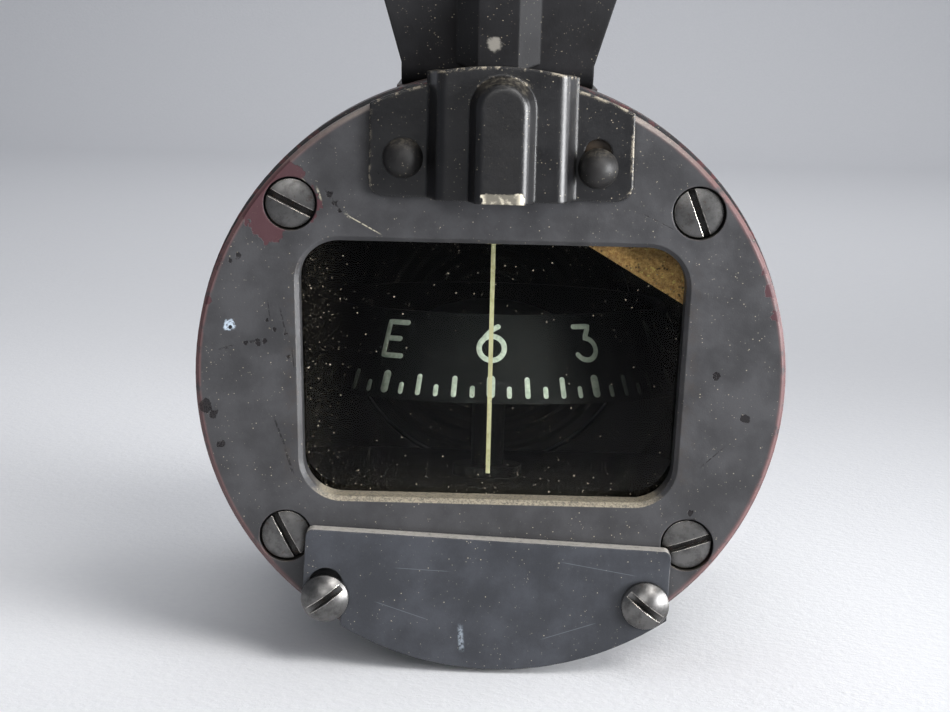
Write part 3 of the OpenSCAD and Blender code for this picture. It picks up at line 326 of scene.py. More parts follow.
def enamel(name, colour, rubbed, roughness=0.42, grain=0.012, wear=0.6, dust=0.5,
           specular=0.35):
    """Returns the finish with its colour, roughness and height still open to additions."""
    paint = Finish(name, colour, roughness, specular=specular)
    mottle = paint.noise(0.16, 4.0, 0.6)
    fine = paint.noise(4.5, 3.0, 0.6)
    cloud = mottle.rising(0.32, 0.68) * 0.75 + (fine - 0.5) * 0.5
    paint.colour = paint.blend(cloud, shaded(colour, DARKER), shaded(colour, LIGHTER))
    broken = paint.noise(0.9, 5.0, 0.7).rising(0.42, 0.62)
    worn = paint.edge(0.35) * broken * wear
    paint.colour = paint.blend(worn, paint.colour, rubbed)
    settled = paint.facing("Z").rising(0.35, 0.95) * paint.noise(1.6, 5.0, 0.75).rising(0.4, 0.7)
    paint.colour = paint.blend(settled * dust, paint.colour, DUST)
    specks = paint.cells(1.3).rising(0.13, 0.06) * paint.noise(0.35, 2.0).rising(0.45, 0.6)
    grit = paint.cells(2.4).rising(0.17, 0.08) * paint.noise(1.2, 3.0).rising(0.52, 0.62)
    paint.colour = paint.blend((specks * 0.65).or_(grit * 0.5), paint.colour, DUST)
    # Ambient occlusion paints shade, a near-black, into the corners and crevices of every enamel.
    grime_and_shade = paint.crevice(CREVICE_SHADE_REACH)
    paint.colour = paint.blend(grime_and_shade * 0.75, paint.colour, CREVICE_SHADE)
    paint.gloss = (roughness + (mottle - 0.5) * 0.3 + (fine - 0.5) * 0.16
                   + settled * (dust * 0.4) + worn * 0.08)
    paint.height = fine * grain + paint.noise(1.3, 3.0, 0.5) * (grain * 1.5) - worn * 0.02
    return paint


def finish_enamel(paint, round_edges=0.2):
    paint.set("Base Color", paint.colour)
    paint.set("Roughness", paint.gloss)
    paint.relief(paint.height, 1.0, round_edges)
    return paint


# %% [markdown]
# ## The face plate's enamel
# The face has seen the most: maroon primer shows round a corner screw and along the rim, the
# rim's edge is rubbed to a thin copper line, small dark chips and scratches cross the paint,
# and dust lies on the ledge below the window. Each kind of damage is a list of places, and all
# the places of a kind are joined into one mask.

# %% Where the face is damaged
WINDOW_HALF, WINDOW_TOP, WINDOW_BOTTOM = 25.9, 17.8, -17.0
PRIMER_SPOTS = ((286, 184, 2.9), (262, 204, 3.0), (272, 226, 2.3), (304, 205, 2.4),
                (244, 200, 1.7), (206, 300, 0.7), (771, 292, 0.9), (777, 316, 0.7),
                (766, 270, 0.6), (218, 258, 0.6))
DARK_CHIPS = ((205, 406, 0.85), (213, 414, 0.5), (220, 444, 0.5), (746, 419, 0.55),
              (717, 376, 0.5), (693, 514, 0.4), (696, 524, 0.5), (232, 260, 0.3),
              (240, 256, 0.3), (246, 343, 0.25), (258, 342, 0.35), (264, 341, 0.25),
              (331, 196, 0.35), (336, 204, 0.3), (341, 211, 0.25), (275, 330, 0.2),
              (268, 320, 0.16), (286, 334, 0.2), (289, 357, 0.22), (226, 345, 0.16))
SCRATCHES = (((215, 351), (238, 344), 0.24), ((242, 343), (264, 340), 0.26),
             ((325, 188), (343, 214), 0.22), ((268, 298), (271, 322), 0.13),
             ((280, 305), (287, 338), 0.16), ((292, 345), (294, 372), 0.12),
             ((272, 414), (285, 450), 0.2), ((283, 446), (293, 478), 0.24),
             ((700, 470), (728, 446), 0.12), ((640, 214), (676, 232), 0.1),
             ((234, 262), (246, 254), 0.24))
BRIGHT_MARKS = (((345, 214), (384, 236), 0.1), ((345, 213), (353, 220), 0.22),
                ((318, 186), (324, 204), 0.18), ((303, 178), (312, 190), 0.16))
SCUFF, PIT, STAINED_HOLE = (230, 325), (231, 327), (596, 152)
print(len(PRIMER_SPOTS), "bare patches,", len(DARK_CHIPS), "chips,", len(SCRATCHES), "scratches")


def spots(paint, places, soft, warp):
    """One mask for round patches, each given as its place in the picture and its radius."""
    return any_of([paint.spot(*seen(u, v), r, soft, warp) for u, v, r in places])


def lines(paint, places):
    """One mask for thin marks, each given as its two ends in the picture and its width."""
    return any_of([paint.line(seen(*a), seen(*b), w) for a, b, w in places])


# %% Paint the face plate
face = enamel("face enamel", linear(54, 54, 56), linear(112, 96, 94), 0.38, wear=0.3)
front = face.y.rising(0.45, 0.1)
reach = face.reach()
side = (face.x / reach).size().rising(0.35, 0.85)
rim = reach.rising(FACE_R - 0.95, FACE_R - 0.45) * face.noise(0.45, 5.0, 0.65).rising(0.3, 0.5)
face.colour = face.blend(rim * side * 0.45, face.colour, linear(126, 84, 82))
# A pale band along the top of the rim's edge is a painted highlight.
rim_top_highlight = reach.rising(FACE_R - 0.8, FACE_R - 0.3) * (1 - side) * face.z.rising(0, 8)
face.colour = face.blend(rim_top_highlight * 0.6, face.colour, linear(150, 140, 134))
patches = spots(face, PRIMER_SPOTS, 0.12, 3.4) * front
face.colour = face.blend(patches * 0.85, face.colour, linear(66, 36, 41))
chips = spots(face, DARK_CHIPS, 0.08, 1.6) * front
face.colour = face.blend(chips * 0.85, face.colour, linear(22, 19, 20))
scratches = lines(face, SCRATCHES) * front * face.noise(2.1, 4.0, 0.7).rising(0.42, 0.52)
face.colour = face.blend(scratches * 0.85, face.colour, linear(18, 17, 18))
bright_marks = lines(face, BRIGHT_MARKS) * front * face.noise(2.2, 3.0).rising(0.38, 0.5)
face.colour = face.blend(bright_marks * 0.8, face.colour, linear(176, 170, 150))
scuff = face.spot(*seen(*SCUFF), 0.55, 0.35, 1.6) * face.noise(3.4, 4.0, 0.7).rising(0.38, 0.5)
face.colour = face.blend(scuff * front * 0.85, face.colour, linear(178, 192, 206))
face.colour = face.blend(face.spot(*seen(*PIT), 0.24, 0.1, 0.5) * front, face.colour,
                         linear(14, 13, 14))
stain = face.spot(*seen(*STAINED_HOLE), 1.9, 0.3, 1.0) * front
face.colour = face.blend(stain * 0.8, face.colour, linear(52, 40, 26))
ledge = (face.facing("Z").rising(0.4, 0.8) * reach.rising(32, 30)
         * face.z.rising(WINDOW_BOTTOM + 1.4, WINDOW_BOTTOM + 0.6))
dust_grains = face.noise(3.2, 5.0, 0.75).rising(0.36, 0.6)
face.colour = face.blend(ledge * (0.25 + dust_grains * 0.7), face.colour,
                         linear(150, 141, 122))
# Brown grime lies along the window's sides.
grime_and_shade = ((face.x.size() - WINDOW_HALF - 0.5).size().rising(2.2, 0.2) * face.z.size().rising(17, 13)
         * face.noise(0.6, 4.0, 0.7).rising(0.4, 0.7) * front)
face.colour = face.blend(grime_and_shade * 0.3, face.colour, linear(58, 48, 38))
face.gloss = face.gloss + patches * 0.12 + ledge * 0.35 - chips * 0.1
face.height = face.height - patches * 0.03 - chips * 0.05 - scratches * 0.02
finish_enamel(face, 0.25)
dress(face, *nodes_of("face_paint"))
print("face plate painted")

# %% [markdown]
# ## The case, the cover plate and the arm
# The case and its rear cover are the same enamel but darker and less handled. The adjuster
# cover below has scuffs along its edges, a pale smear and a line of dust on its top edge. The
# arm is a duller black.

# %% Paint the case, the adjuster cover and the arm
case = enamel("case enamel", linear(44, 45, 48), linear(110, 74, 72), 0.42, wear=0.45,
              dust=0.22)
reach = case.reach()
flange = case.y.rising(12.8, 12.0) * reach.rising(FACE_R - 1.2, FACE_R - 0.5)
case.colour = case.blend(flange * case.noise(0.5, 4.0, 0.7).rising(0.5, 0.62) * 0.6,
                         case.colour, linear(98, 52, 54))
BOWL_R, BOWL_FRONT, BOWL_BACK = 35.6, 5.0, 70.5
inside = (reach.rising(BOWL_R, BOWL_R - 0.6) * case.y.rising(BOWL_FRONT, BOWL_FRONT + 1.4)
          * case.y.rising(BOWL_BACK, BOWL_BACK - 1.0))
case.colour = case.blend(inside, case.colour, linear(13, 13, 14))
case.gloss = case.gloss + inside * 0.25
case.height = case.height * (1 - inside)
finish_enamel(case)
dress(case, *nodes_of("case_paint"))

lacquer = enamel("black lacquer", linear(16, 16, 17), linear(60, 56, 50), 0.6, wear=0.3, dust=0.1)
finish_enamel(lacquer)
dress(lacquer, *nodes_of("black_lacquer"))

plate = enamel("cover plate enamel", linear(50, 52, 57), linear(118, 116, 114), 0.38,
               wear=0.5, dust=0.9)
SMEAR = (((460, 622), (462, 654), 0.5),)
RUBS = (((372, 600), (430, 620), 0.07), ((392, 566), (452, 570), 0.06),
        ((560, 560), (640, 575), 0.06), ((540, 640), (600, 622), 0.07))
smear = lines(plate, SMEAR) * plate.noise(2.4, 4.0).rising(0.35, 0.6)
plate.colour = plate.blend(smear * 0.6, plate.colour, linear(150, 160, 170))
plate.colour = plate.blend(lines(plate, RUBS) * 0.3, plate.colour, linear(120, 124, 130))
plate_top = plate.facing("Z").rising(0.5, 0.8) * plate.z.rising(-27, -24)
plate.colour = plate.blend(plate_top * plate.noise(1.4, 5.0, 0.7).rising(0.2, 0.55),
                           plate.colour, linear(176, 172, 166))
finish_enamel(plate, 0.3)
dress(plate, *nodes_of("plate_paint"))

arm = enamel("arm enamel", linear(25, 25, 27), linear(72, 70, 68), 0.5, wear=0.35, dust=0.15)
ARM_SCUFF = (495, 52)
scuff = arm.spot(*seen(*ARM_SCUFF), 0.7, 0.5, 1.4)
arm.colour = arm.blend(scuff * arm.y.rising(20, 10) * 0.7, arm.colour, linear(150, 146, 138))
finish_enamel(arm, 0.4)
dress(arm, *nodes_of("arm_paint"))
print("case, adjuster cover and arm painted")

# %% [markdown]
# ## The lamp cover
# This pressed cover has a glossier black enamel, rubbed pale along its top and side edges. The
# bump for the lamp is blacker in front, and a chip along its lower edge is down to pale bare
# metal. Its bends mirror the lamp on the right as long bright streaks.

# %% Paint the lamp cover
lamp = enamel("lamp cover enamel", linear(14, 14, 16), linear(96, 92, 86), 0.34,
              wear=0.2, dust=0.3, specular=0.5)
LAMP_BOTTOM = (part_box("lamp_cover")[0][2] - FACE.z) * 1000
LAMP_X, BUMP_FRONT = 0.7, -8.6
chip = ((lamp.x - LAMP_X - 0.25).size() + (lamp.noise(1.6, 3.0) - 0.5) * 1.2).rising(2.85, 2.6)
chip = chip * (lamp.z + (lamp.noise(1.2, 3.0) - 0.5) * 0.8).rising(LAMP_BOTTOM + 1.45,
                                                                   LAMP_BOTTOM + 1.25)
chip = chip * lamp.y.rising(BUMP_FRONT + 0.4, BUMP_FRONT - 0.1)
lamp.colour = lamp.blend(chip, lamp.colour,
                         lamp.blend(lamp.noise(2.5, 4.0, 0.7), linear(206, 196, 172),
                                    linear(236, 228, 208)))
dull = (lamp.y.rising(BUMP_FRONT, BUMP_FRONT - 0.7) * (lamp.x - LAMP_X).size().rising(2.9, 1.8)
        * lamp.noise(0.7, 4.0, 0.6).rising(0.25, 0.5))
lamp.colour = lamp.blend(dull * 0.85, lamp.colour, linear(9, 8, 9))
top_rub = (lamp.reach().rising(38.6, 39.4).or_(lamp.x.size().rising(16.2, 17.1))
           * lamp.edge(0.9, 0.005, 0.12) * lamp.noise(0.8, 5.0, 0.7).rising(0.48, 0.58))
lamp.colour = lamp.blend(top_rub * 0.85, lamp.colour, linear(168, 158, 140))
lamp.gloss = lamp.gloss + dull * 0.06 + chip * 0.3 + top_rub * 0.15
lamp.height = lamp.height - chip * 0.06
finish_enamel(lamp, 0.45)
dress(lamp, *nodes_of("lamp_cover_paint"))
print("lamp cover painted")

# %% [markdown]
# ## Metals
# The screws are blackened steel: dark on top, bright where a screwdriver has rubbed the slot
# and the rim, with shade painted into slots and corners. The inner works are turned brass and
# plain steel, a little dull from the fluid.

# %% Steel and brass


def metal(name, colour, bright, roughness, wear=0.8, dark=0.5, turned=0.0):
    made = Finish(name, colour, roughness, metallic=1.0)
    stain = made.noise(0.7, 5.0, 0.65)
    fine = made.noise(7.0, 3.0, 0.6)
    shade = made.blend(stain.rising(0.4, 0.7) * dark, colour, shaded(colour, 0.45))
    rubbed = made.edge(0.28) * made.noise(1.8, 4.0).rising(0.3, 0.55) * wear
    # The crevice mask paints shade, a near-black, into slots and corners.
    made.colour = made.blend(made.crevice(1.5, 0.4, 0.8), made.blend(rubbed, shade, bright),
                             linear(14, 12, 10))
    made.gloss = roughness + (stain - 0.5) * 0.3 + (fine - 0.5) * 0.12 - rubbed * 0.12
    made.height = fine * 0.01 + made.noise(1.6, 3.0) * 0.012
    if turned:
        made.height = made.height + made.noise(turned, 1.0, 0.4) * 0.004
    return made


def finish_metal(made, round_edges=0.1):
    made.set("Base Color", made.colour)
    made.set("Roughness", made.gloss)
    made.relief(made.height, 1.0, round_edges)
    return made


dark_steel = metal("dark steel", linear(112, 111, 110), linear(236, 230, 220), 0.34, 1.0,
                   0.75)
rust = dark_steel.noise(1.3, 5.0, 0.7).rising(0.56, 0.72)
dark_steel.colour = dark_steel.blend(rust * 0.55, dark_steel.colour, linear(74, 56, 44))
finish_metal(dark_steel, 0.15)
dress(dark_steel, *nodes_of("dark_steel"))
studs = enamel("stud enamel", linear(26, 25, 25), linear(84, 80, 76), 0.5, wear=0.3, dust=0.2)
finish_enamel(studs, 0.1)
dress(studs, "lamp_cover_studs")
dress(finish_metal(metal("plain steel", linear(168, 168, 170), linear(220, 220, 220), 0.34,
                         0.6, 0.3, 9.0)), *nodes_of("plain_steel"))
dress(finish_metal(metal("spring steel", linear(150, 150, 156), linear(205, 205, 208), 0.38,
                         0.5, 0.35)), *nodes_of("spring_steel"))
dress(finish_metal(metal("magnet steel", linear(84, 85, 88), linear(150, 150, 150), 0.5,
                         0.5, 0.5)), *nodes_of("magnet_steel"))
dress(finish_metal(metal("turned brass", linear(190, 160, 98), linear(226, 204, 150), 0.34,
                         0.6, 0.35, 9.0)), *nodes_of("turned_brass"))
dress(finish_metal(metal("sheet brass", linear(178, 148, 92), linear(220, 196, 142), 0.38,
                         0.6, 0.4)), *nodes_of("sheet_brass"))
print("metals done")

# %% [markdown]
# ## Cork, rubber and fibre
# The cork gasket behind the lens has slipped, so a stained corner of it shows. Cork is a mass
# of small cells with darker seams; this one has gone mouldy and has bright yellow flecks.

# %% Cork, rubber and fibre
cork = Finish("stained cork", linear(150, 118, 74), 0.85)
grains = cork.cells(0.85)
seams = cork.noise(2.2, 5.0, 0.7)
tan = cork.blend(seams.rising(0.3, 0.7), linear(236, 190, 120), linear(168, 118, 66))
mould = (cork.cells(1.7).rising(0.42, 0.2) * cork.noise(0.8, 3.0).rising(0.42, 0.6))
tan = cork.blend(mould * 0.85, tan, linear(58, 44, 30))
stain = cork.noise(0.3, 3.0).rising(0.45, 0.7)
tan = cork.blend(stain * 0.45, tan, linear(104, 72, 42))
flecks = cork.noise(1.5, 4.0, 0.65).rising(0.6, 0.66) * cork.x.rising(18, 20)
cork.set("Base Color", cork.blend(flecks, tan, linear(240, 216, 130)))
cork.set("Roughness", 0.8 + (grains - 0.5) * 0.15)
cork.relief(grains * 0.12 + seams * 0.1, 1.0)
dress(cork, *nodes_of("cork"))

rubber = Finish("gasket rubber", linear(34, 32, 31), 0.7)
bloom = rubber.noise(1.2, 5.0, 0.7)
rubber.set("Base Color", rubber.blend(bloom.rising(0.45, 0.75) * 0.4, linear(34, 32, 31),
                                      linear(84, 78, 70)))
rubber.set("Roughness", 0.62 + bloom * 0.2)
rubber.relief(bloom * 0.05, 1.0)
dress(rubber, *nodes_of("gasket_rubber"))

fibre = Finish("fibre washer", linear(124, 62, 40), 0.75)
weave = fibre.noise(3.2, 5.0, 0.75)
fibre.set("Base Color", fibre.blend(weave, linear(96, 44, 28), linear(150, 84, 56)))
fibre.set("Roughness", 0.65 + weave * 0.2)
fibre.relief(weave * 0.05, 1.0)
dress(fibre, *nodes_of("fibre"))
print("cork, rubber and fibre done")

# %% [markdown]
# ## The card
# The card is a thin sloping band, painted near-black, with its marks and figures in a pale
# luminous paint that has gone greenish grey. Each mark is a stroke of paint, so it is drawn as
# a path with a round nib: a curve whose thickness tapers at its ends. A mark is drawn once,
# flat, then laid on the cone and copied round it.

# %% The card's cone
card_low, card_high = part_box("compass_card")
PIVOT_Y = ((card_low[1] + card_high[1]) / 2 - FACE.y) * 1000
CARD_BOTTOM = (card_low[2] - FACE.z) * 1000
CARD_TOP = (card_high[2] - FACE.z) * 1000
CARD_R = (card_high[0] - card_low[0]) / 2 * 1000
SLOPE = math.radians(23)
HEADING = 60.3
print("card radius", round(CARD_R, 2), "height", round(CARD_TOP - CARD_BOTTOM, 2), "mm")


def on_card(u, v, w, bearing):
    """A point u mm round the card, v mm up its slope and w mm proud, as a point in the frame."""
    radius = CARD_R - v * math.sin(SLOPE)
    angle = math.radians(HEADING - bearing) + u / radius
    radius += w * math.cos(SLOPE)
    return place(radius * math.sin(angle), PIVOT_Y - radius * math.cos(angle),
                 CARD_BOTTOM + v * math.cos(SLOPE) + w * math.sin(SLOPE))


# %% Strokes with round ends
PROUD = 0.05


def arc(x, y, r, start, end, steps=16):
    return [(x + r * math.cos(math.radians(start + (end - start) * i / steps)),
             y + r * math.sin(math.radians(start + (end - start) * i / steps)))
            for i in range(steps + 1)]


def fine_steps(points, longest=0.35):
    """The same path with short steps, so that it can follow the curve of the card."""
    out = [points[0]]
    for a, b in zip(points, points[1:]):
        count = max(1, math.ceil(math.dist(a, b) / longest))
        out += [(a[0] + (b[0] - a[0]) * i / count, a[1] + (b[1] - a[1]) * i / count)
                for i in range(1, count + 1)]
    return out


def nib_end(inner, outer, half):
    """Extra points past a path's end whose shrinking thickness rounds it off."""
    length = math.dist(inner, outer)
    ux, uy = (outer[0] - inner[0]) / length, (outer[1] - inner[1]) / length
    return [((outer[0] + ux * half * s, outer[1] + uy * half * s), math.sqrt(1 - s * s))
            for s in (0.35, 0.65, 0.88, 0.98)]


def stroke(paths, width):
    """A flat painted mark made of strokes, still lying in the drawing plane."""
    bpy.ops.object.select_all(action="DESELECT")
    bpy.ops.curve.primitive_nurbs_path_add()
    mark = bpy.context.object
    mark.data.splines.clear()
    for path in paths:
        points = fine_steps(path)
        closed = math.dist(path[0], path[-1]) < 1e-6
        knots = [(p, 1.0) for p in points[:-1]] if closed else (
            nib_end(points[1], points[0], width / 2)[::-1] + [(p, 1.0) for p in points]
            + nib_end(points[-2], points[-1], width / 2))
        spline = mark.data.splines.new("POLY")
        spline.points.add(len(knots) - 1)
        for knot, ((x, y), thick) in zip(spline.points, knots):
            knot.co, knot.radius = (x, y, 0, 1), thick
        spline.use_cyclic_u = closed
    mark.data.dimensions = "3D"
    mark.data.twist_mode = "Z_UP"
    mark.data.bevel_depth = width / 2
    mark.data.bevel_resolution = 1
    mark.data.use_fill_caps = True
    bpy.ops.object.convert(target="MESH")
    return bpy.context.object


def lay_on_card(mark, offset, bearing):
    """Copies a flat mark, with its own mesh, onto the card at a bearing."""
    copy = bpy.data.objects.new("mark", mark.data.copy())
    bpy.context.scene.collection.objects.link(copy)
    half = max(abs(v.co.z) for v in copy.data.vertices)
    for v in copy.data.vertices:
        v.co = on_card(v.co.x + offset, v.co.y, PROUD * v.co.z / half, bearing)
    return copy


def join(marks, name):
    bpy.ops.object.select_all(action="DESELECT")
    for mark in marks:
        mark.select_set(True)
    bpy.context.view_layer.objects.active = marks[0]
    bpy.ops.object.join()
    joined = bpy.context.object
    joined.name = joined.data.name = name
    bpy.ops.object.shade_smooth_by_angle(angle=math.radians(50))
    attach(joined, "card")
    return joined


def discard(*flat):
    for mark in flat:
        bpy.data.objects.remove(mark)


# %% Degree marks: thick every 30, thin every 10, short every 5
MARK_FOOT = 0.8


def bar(width, tall):
    low, high = width / 2, tall - width / 2
    return stroke([[(0, MARK_FOOT + low), (0, MARK_FOOT + high)]], width)


thick = bar(1.16, 3.32)
thin = bar(0.74, 3.12)
short = bar(0.7, 1.75)
marks = []
for bearing in range(0, 360, 5):
    kind = thick if bearing % 30 == 0 else thin if bearing % 10 == 0 else short
    marks.append(lay_on_card(kind, 0, bearing))
discard(thick, thin, short)
card_marks = join(marks, "card_marks")
print("card marks:", len(card_marks.data.polygons), "faces")

# %% [markdown]
# ## The card's figures
# The figures are the same kind of stroke. Each letter or figure is a short list of paths, with
# its width, and a two-figure label sets them side by side. They leave out the last zero, so 6
# stands for sixty degrees.

# %% Letters and figures
TALL = 4.9
GLYPHS = {
    "N": (2.9, [[(0, 0), (0, TALL), (2.9, 0), (2.9, TALL)]]),
    "E": (2.8, [[(2.8, TALL), (0, TALL), (0, 0), (2.8, 0)], [(0, 2.5), (2.1, 2.5)]]),
    "S": (2.6, [arc(1.3, 3.66, 1.24, 30, 270) + arc(1.3, 1.21, 1.21, 90, -150)[1:]]),
    "W": (3.9, [[(0, TALL), (1.0, 0), (1.95, 4.1), (2.9, 0), (3.9, TALL)]]),
    "0": (2.8, [[(1.4 + x * 0.57, TALL / 2 + y)
                 for x, y in arc(0, 0, TALL / 2, 90, 450, 32)]]),
    "1": (0.8, [[(0, TALL - 0.8), (0.8, TALL), (0.8, 0)]]),
    "2": (2.8, [arc(1.4, TALL - 1.4, 1.38, 165, -35) + [(0, 0), (2.8, 0)]]),
    "3": (3.6, [[(0, TALL), (2.3, TALL), (1.45, 3.15)] + arc(1.35, 1.6, 1.6, 75, -150)]),
    "4": (3.0, [[(2.1, 0), (2.1, TALL), (0, 1.45), (3.0, 1.45)]]),
    "5": (2.8, [[(2.6, TALL), (0.5, TALL), (0.3, 2.7)] + arc(1.25, 1.55, 1.52, 125, -145)]),
    "6": (3.5, [[(2.55, TALL), (1.75, 4.45), (0.95, 3.55), (0.35, 2.7)]
                + arc(1.75, 1.75, 1.75, 150, -210, 30)]),
}
LABELS = {0: "N", 30: "3", 60: "6", 90: "E", 120: "12", 150: "15", 180: "S", 210: "21",
          240: "24", 270: "W", 300: "30", 330: "33"}
FIGURE_FOOT, LIFT, PEN, GAP = 5.95, 0.37, 0.75, 1.5
flat = {}
for glyph, (width, paths) in GLYPHS.items():
    flat[glyph] = stroke([[(x, y + FIGURE_FOOT + LIFT) for x, y in path] for path in paths], PEN)
figures = []
for bearing, label in LABELS.items():
    wide = sum(GLYPHS[g][0] for g in label) + GAP * (len(label) - 1)
    left = -wide / 2
    for glyph in label:
        figures.append(lay_on_card(flat[glyph], left, bearing))
        left += GLYPHS[glyph][0] + GAP
discard(*flat.values())
card_figures = join(figures, "card_figures")
print("card figures:", len(card_figures.data.polygons), "faces")

# %% [markdown]
# ## Paint for the card
# The luminous paint is chalky and a little uneven, and the card's own black is flat. The
# lubber line, the fixed upright that a heading is read against, is cream yellow and brighter,
# because it stands nearer the glass.

# %% Card, marks, float and lubber line
ink = Finish("luminous paint", linear(206, 214, 200), 0.7)
chalk = ink.noise(1.7, 4.0, 0.65)
ink.set("Base Color", ink.blend(chalk.rising(0.3, 0.75), linear(222, 228, 214),
                                linear(176, 186, 172)))
ink.set("Roughness", 0.6 + chalk * 0.2)
ink.relief(chalk * 0.03, 1.0)
dress(ink, "card_marks", "card_figures")

band = Finish("card black", linear(13, 14, 15), 0.7, specular=0.2)
haze = band.noise(0.22, 4.0, 0.6)
band.set("Base Color", band.blend(haze.rising(0.35, 0.7), linear(11, 12, 13),
                                  linear(19, 20, 21)))
band.set("Roughness", 0.45 + haze * 0.2)
band.relief(band.noise(3.0, 3.0) * 0.01, 1.0)
dress(band, *nodes_of("card_paint"))

lubber = Finish("lubber line paint", linear(226, 218, 160), 0.55)
dirt = lubber.noise(1.1, 5.0, 0.7)
lubber.set("Base Color", lubber.blend(dirt.rising(0.45, 0.7) * 0.6, linear(206, 198, 158),
                                      linear(168, 152, 104)))
lubber.set("Roughness", 0.45 + dirt * 0.2)
lubber.relief(dirt * 0.04, 1.0, 0.1)
dress(lubber, *nodes_of("line_paint"))

buoy = Finish("float paint", linear(20, 20, 21), 0.6)
mist = buoy.noise(0.5, 4.0, 0.6)
buoy.set("Base Color", buoy.blend(mist.rising(0.3, 0.7), linear(17, 17, 18),
                                  linear(27, 27, 28)))
buoy.set("Roughness", 0.5 + mist * 0.2)
buoy.relief(mist * 0.04, 1.0)
dress(buoy, *nodes_of("float_paint"))
print("card painted")

# %% [markdown]
# ## Glass
# The lens shows what is behind it and mirrors a little of the room, more at a slant. Mixing a
# clear shader with a glossy one by Fresnel does both and lets the lamps' light in. The bowl
# behind it is full of fluid, so only the lens's front mirrors, and that is also where light
# bends. A near-black film on the lens's back at both sides paints shade onto the card's sides.
# Dust lies on the front as fine pale specks, thickest along the left side and the bottom.

# %% Lens, bulb and jewel


def clear(name, tint, gloss):
    """A finish for glass that lets light through and mirrors a little of the room."""
    made = Finish(name, DUST, 0.8)
    passed = made.node("ShaderNodeBsdfTransparent", None, {"Color": tint}, "BSDF")
    mirror = made.node("ShaderNodeBsdfGlossy", None,
                       {"Color": (1, 1, 1, 1), "Roughness": gloss}, "BSDF")
    slant = made.node("ShaderNodeFresnel", None, {"IOR": 1.22}, "Fac")
    made.passed, made.mirror, made.slant = passed, mirror, slant
    mix_glass(made)
    return made


def mix_glass(made):
    made.both = made.node("ShaderNodeMixShader", None,
                          {0: made.slant, 1: made.passed, 2: made.mirror}, "Shader")


def dusted(made, mask):
    """Covers the glass with its own dust where mask is high."""
    out = made.tree.nodes["Material Output"]
    powder = Wire(made, made.shader.outputs["BSDF"])
    layered = made.node("ShaderNodeMixShader", None, {0: mask, 1: made.both, 2: powder},
                        "Shader")
    made.feed(out.inputs["Surface"], layered)


LENS_TINT = (0.94, 0.96, 0.94, 1)
glass = clear("lens glass", LENS_TINT, 0.03)
CORK_X, CORK_Z, CORK_SLANT = 13.3, 17.4, 0.637
clear_of_cork = (glass.z - CORK_Z + (glass.x - CORK_X) * CORK_SLANT).rising(-0.5, -3.5)
# Both sides of the lens's back get a near-black film: painted shade that darkens the card's sides.
side_shade_film = ((0.3 - glass.x).rising(8, 20.5).or_((glass.x - 1.5).rising(8, 20.5))
        * glass.y.rising(5.5, 6.5) * clear_of_cork)
dark_film = glass.node("ShaderNodeBsdfTransparent", None, {"Color": (0.008, 0.009, 0.008, 1)},
                     "BSDF")
glass.passed = glass.node("ShaderNodeMixShader", None,
                          {0: side_shade_film, 1: glass.passed, 2: dark_film}, "Shader")
bent = glass.node("ShaderNodeBsdfRefraction", None,
                  {"Color": LENS_TINT, "Roughness": 0.0, "IOR": 1.43}, "BSDF")
for_lamps = glass.node("ShaderNodeLightPath", output="Is Shadow Ray")
bent = glass.node("ShaderNodeMixShader", None, {0: for_lamps, 1: bent, 2: glass.passed},
                  "Shader")
glass.passed = glass.node("ShaderNodeMixShader", None,
                          {0: glass.y.rising(4.3, 4.2), 1: glass.passed, 2: bent}, "Shader")
outside = glass.y.rising(4.6, 4.2)
glass.slant = glass.slant * outside * 1.1
mix_glass(glass)
left_edge = (glass.x - glass.z * 0.03).rising(9 - WINDOW_HALF, 1 - WINDOW_HALF)
right_edge = glass.x.rising(WINDOW_HALF - 5, WINDOW_HALF - 0.5)
bottom_edge = glass.z.rising(WINDOW_BOTTOM + 6, WINDOW_BOTTOM + 1)
top_edge = glass.z.rising(WINDOW_TOP - 2.5, WINDOW_TOP)
corner = ((glass.x - 20) * 0.7 - (glass.z + 8) * 0.9).rising(-4, 12)
crowd = left_edge.or_(bottom_edge).or_(right_edge * 0.8).or_(top_edge * 0.5).or_(corner * 0.7)
fine_specks = glass.cells(1.9).rising(0.2, 0.12) * glass.noise(1.4, 2.0).rising(0.5, 0.56)
coarse_specks = glass.cells(0.75).rising(0.1, 0.06) * glass.noise(0.9, 2.0).rising(0.45, 0.5)
powder = glass.cells(4.2).rising(0.3, 0.18) * crowd ** 1.5
film = glass.noise(0.35, 5.0, 0.7)
mask = (fine_specks * (0.2 + crowd * 0.3) + coarse_specks * (0.5 + crowd * 0.2)
        + powder * 0.24 + crowd * film * 0.05 + film * 0.002) * outside
dusted(glass, mask.rising(0.0, 1.0))
dress(glass, *nodes_of("lens_glass"))

bulb = clear("bulb glass", (0.97, 0.96, 0.92, 1), 0.03)
dusted(bulb, (bulb.noise(1.2, 4.0, 0.7).rising(0.4, 0.8) * 0.2).rising(0.0, 1.0))
dress(bulb, *nodes_of("bulb_glass"))

jewel = Finish("jewel", linear(150, 30, 54), 0.12)
cloud = jewel.noise(1.8, 3.0)
jewel.set("Base Color", jewel.blend(cloud, linear(120, 18, 40), linear(178, 44, 70)))
jewel.set("Roughness", 0.1 + cloud * 0.1)
jewel.relief(cloud * 0.01, 1.0)
dress(jewel, *nodes_of("jewel"))
print("glass done")

